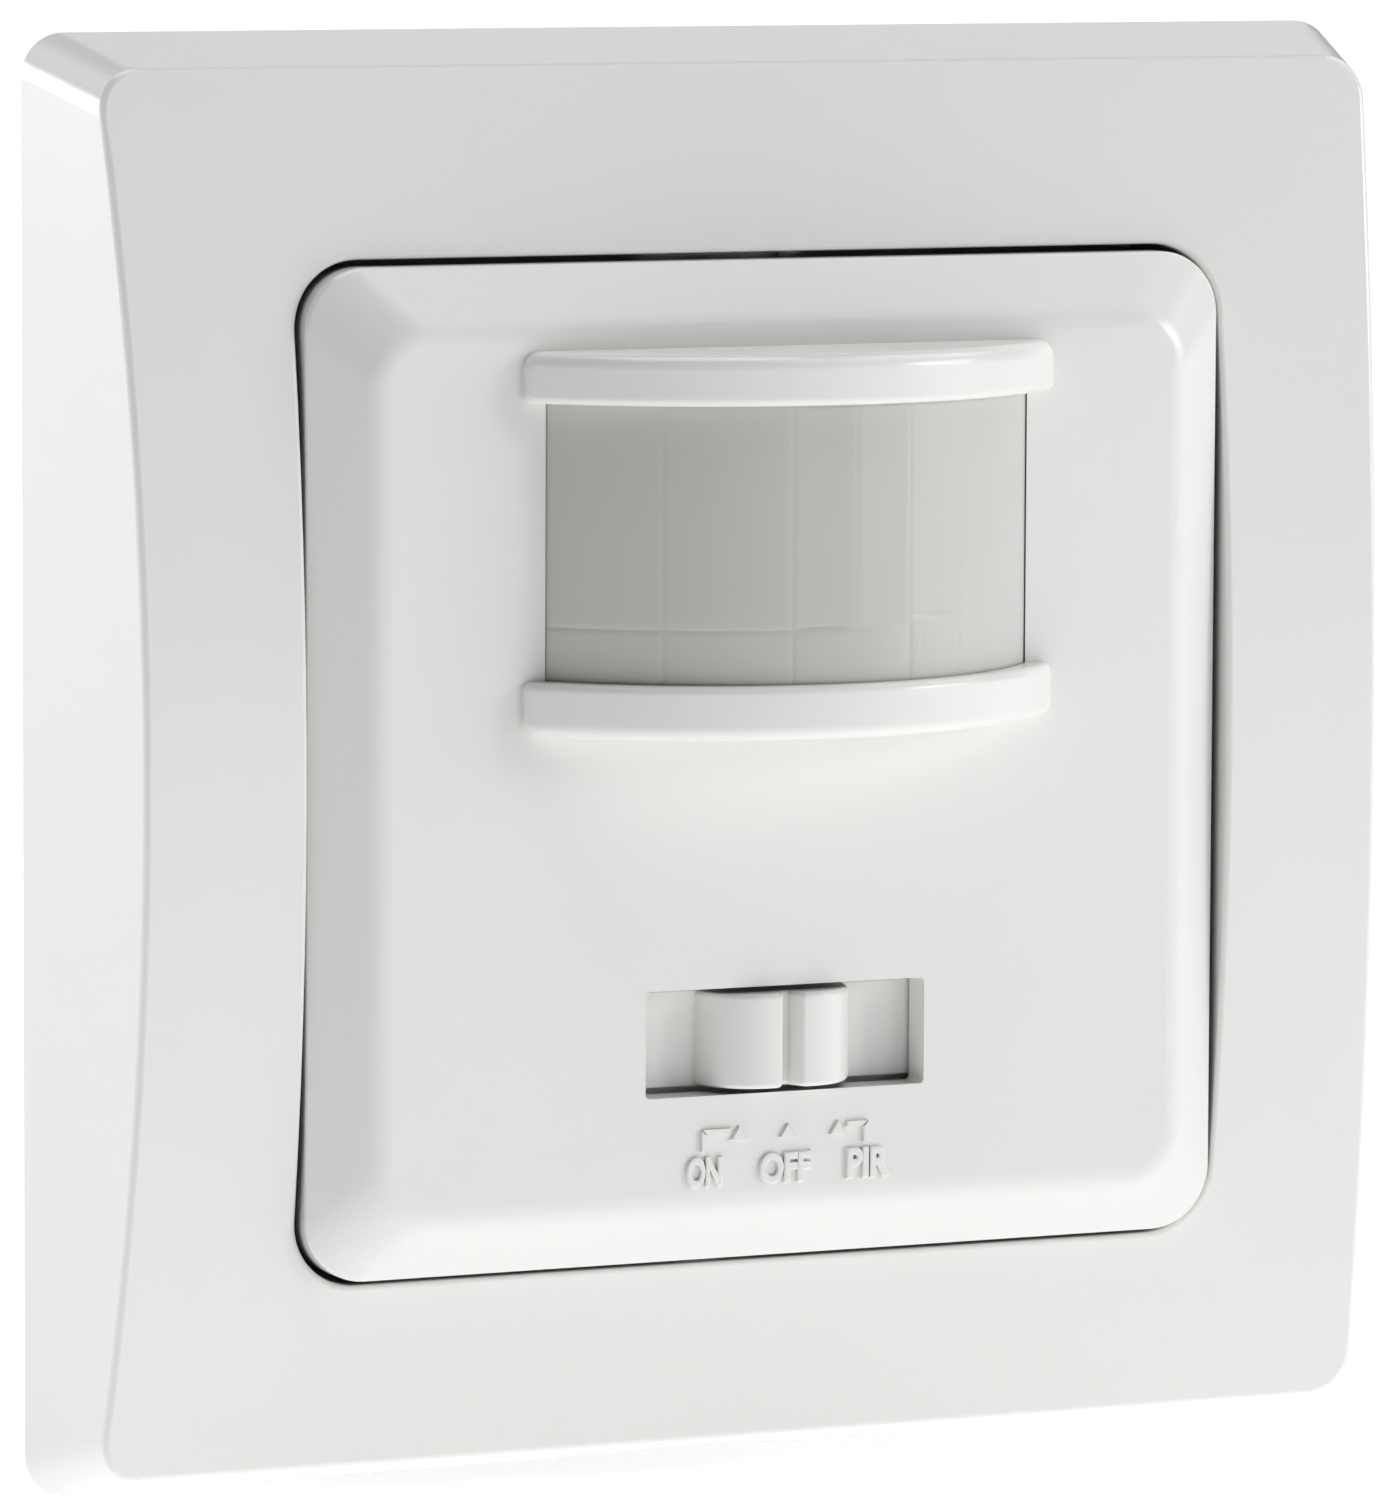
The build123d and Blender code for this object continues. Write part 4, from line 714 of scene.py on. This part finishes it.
def box_mesh(name, low, high):
    """A plain box between two corners, as a cutter."""
    mesh = bpy.data.meshes.new(name)
    shape = bmesh.new()
    bmesh.ops.create_cube(shape, size=1.0)
    for v in shape.verts:
        v.co = Vector([low[axis] if v.co[axis] < 0 else high[axis] for axis in range(3)])
    shape.to_mesh(mesh)
    shape.free()
    return mesh


def carve(piece, low, high):
    """Cuts a box out of a piece's mesh."""
    cutter = bpy.data.objects.new("cutter", box_mesh("cutter", low, high))
    bpy.context.scene.collection.objects.link(cutter)
    carving = piece.modifiers.new("carving", "BOOLEAN")
    carving.operation = "DIFFERENCE"
    carving.solver = "EXACT"
    carving.object = cutter
    bpy.context.view_layer.update()
    mesh = bpy.data.meshes.new_from_object(piece.evaluated_get(bpy.context.evaluated_depsgraph_get()))
    piece.modifiers.remove(carving)
    piece.data = mesh
    bpy.data.objects.remove(cutter)


def threaded_screw(name, node, body, direction, head_height, shank, pitch):
    """A slotted pan-head screw in place of a node; direction is -1 or 1 along Y, from head to tip."""
    low, high, middle, size = span(node)
    head_y = low.y if direction > 0 else high.y

    def fill(shape):
        centre = (middle.x, head_y, middle.z)
        rows = screw_rows(centre, direction, (size.x / 2, head_height), shank, size.y, pitch)
        grid = skin(shape, rows, closed_u=True)
        shape.faces.new(grid[0])
        shape.faces.new(grid[-1])
    piece = piece_from(name, fill, body, SLOT_OF[node], [node])
    slot_end = head_y + direction * SLOT_DEPTH
    outside = head_y - direction * MM
    carve(
        piece,
        (low.x - MM, min(slot_end, outside), middle.z - SLOT_WIDTH / 2),
        (high.x + MM, max(slot_end, outside), middle.z + SLOT_WIDTH / 2),
    )


# Direction, head height, shank radius and thread pitch of each kind
CLAW_SCREW = 1, 1.8 * MM, 1.75 * MM, 0.7 * MM
TERMINAL_SCREW = -1, 1.4 * MM, 1.2 * MM, 0.5 * MM

for side in ("left", "right"):
    node_name = "claw_screw_" + side
    threaded_screw("threaded_" + node_name, node_name, side + "_claw_screw", *CLAW_SCREW)
for pole in ("line", "neutral", "load"):
    node_name = "terminal_screw_" + pole
    threaded_screw("threaded_" + node_name, node_name, pole + "_terminal_screw", *TERMINAL_SCREW)


# Floor, light and camera

FLOOR_Z = cad_low.z - 1.5 * MM
FLOOR_HALF_SIDE = 12.0
# Glow of the floor, and the distances behind the object between which it grows
NEAR_GLOW, FAR_GLOW = 0.64, 1.1
GLOW_START, GLOW_END = 0.3, 1.4
FLOOR_TONES = (0.84, 0.84, 0.84), (0.86, 0.86, 0.86)
FLOOR_CLOUD_FEATURE = 0.4


def floor_mesh(shape):
    """A wide floor."""
    bmesh.ops.create_grid(shape, x_segments=8, y_segments=8, size=FLOOR_HALF_SIDE)
    for v in shape.verts:
        v.co.z = FLOOR_Z


def studio_floor():
    """Plain pale floor that glows a little, more so far behind the object, as a lit cove does."""
    mesh = bpy.data.meshes.new("floor")
    shape = bmesh.new()
    floor_mesh(shape)
    shape.to_mesh(mesh)
    shape.free()
    floor = bpy.data.objects.new("floor", mesh)
    bpy.context.scene.collection.objects.link(floor)
    made, tree, shader = material("floor_white", (0.85, 0.85, 0.85), 0.9, specular=0.1)
    shader.inputs["Emission Color"].default_value = (1, 1, 1, 1)
    where = place(tree)
    apart = tree.nodes.new("ShaderNodeSeparateXYZ")
    tree.links.new(where, apart.inputs["Vector"])
    glow = graded(tree, apart.outputs["Y"], NEAR_GLOW, FAR_GLOW, GLOW_START, GLOW_END)
    tree.links.new(glow, shader.inputs["Emission Strength"])
    tone = graded(tree, noise(tree, where, FLOOR_CLOUD_FEATURE), *FLOOR_TONES)
    tree.links.new(tone, shader.inputs["Base Color"])
    mesh.materials.append(made)


studio_floor()

SURROUND_STRENGTH = 0.02
BACKDROP_STRENGTH = 0.66
LIGHT_DISTANCE = 1.0
AIM = Vector((0, -0.01, 0))
# Azimuth from the front towards the right, height angle, side and power of each soft box
SOFT_BOXES = [
    (-120, 12, 0.4, 4.22), (-135, 50, 0.5, 0.78), (150, 32, 0.4, 0.36), (30, 12, 0.4, 0.28),
    (60, 12, 0.4, 2.06), (45, 50, 0.5, 0.92), (90, 50, 0.5, 1.85), (0, 89, 0.6, 3.95),
    (30, 62, 0.12, 0.12), (52, 13, 0.12, 0.95),
]


def soft_box(name, azimuth, rise, side, power):
    """A square soft light at a fixed distance that points at the object."""
    light = bpy.data.lights.new(name, "AREA")
    light.shape = "SQUARE"
    light.size = side
    light.energy = power
    lamp = bpy.data.objects.new(name, light)
    bpy.context.scene.collection.objects.link(lamp)
    turn, lift = math.radians(azimuth), math.radians(rise)
    lamp.location = LIGHT_DISTANCE * Vector((
        math.sin(turn) * math.cos(lift), -math.cos(turn) * math.cos(lift), math.sin(lift),
    ))
    lamp.rotation_mode = "QUATERNION"
    lamp.rotation_quaternion = (AIM - lamp.location).to_track_quat("-Z", "Y")
    lamp.visible_camera = False


for number, box_light in enumerate(SOFT_BOXES):
    soft_box(f"softbox_{number}", *box_light)


def surround():
    """Pale backdrop all round that is seen directly, but gives the object hardly any light."""
    world = bpy.data.worlds.new("studio")
    world.use_nodes = True
    background = world.node_tree.nodes["Background"]
    background.inputs["Color"].default_value = (1, 1, 1, 1)
    ray = world.node_tree.nodes.new("ShaderNodeLightPath")
    level = world.node_tree.nodes.new("ShaderNodeMapRange")
    level.inputs["To Min"].default_value = SURROUND_STRENGTH
    level.inputs["To Max"].default_value = BACKDROP_STRENGTH
    world.node_tree.links.new(ray.outputs["Is Camera Ray"], level.inputs["Value"])
    world.node_tree.links.new(level.outputs["Result"], background.inputs["Strength"])
    bpy.context.scene.world = world


surround()

CAMERA_PLACE = Vector((-0.22792, -0.49651, 0.05678))
CAMERA_YAW = math.radians(24.696)
CAMERA_PITCH = math.radians(-5.977)
CAMERA_ROLL = math.radians(0.253)
CAMERA_LENS = 235.56


def studio_camera():
    """Camera at the photograph's place, aim and field of view."""
    forward = Vector((
        math.sin(CAMERA_YAW) * math.cos(CAMERA_PITCH),
        math.cos(CAMERA_YAW) * math.cos(CAMERA_PITCH),
        math.sin(CAMERA_PITCH),
    ))
    right = Vector((math.cos(CAMERA_YAW), -math.sin(CAMERA_YAW), 0))
    up = right.cross(forward)
    level = right * math.cos(CAMERA_ROLL) + up * math.sin(CAMERA_ROLL)
    upright = up * math.cos(CAMERA_ROLL) - right * math.sin(CAMERA_ROLL)
    data = bpy.data.cameras.new("camera")
    data.lens = CAMERA_LENS
    data.sensor_width = 36.0
    data.clip_start = 0.01
    data.clip_end = 60.0
    camera = bpy.data.objects.new("camera", data)
    bpy.context.scene.collection.objects.link(camera)
    turn = Matrix((level, upright, -forward)).transposed()
    camera.matrix_world = Matrix.Translation(CAMERA_PLACE) @ turn.to_4x4()
    bpy.context.scene.camera = camera


studio_camera()
bpy.context.scene.view_settings.view_transform = "Standard"
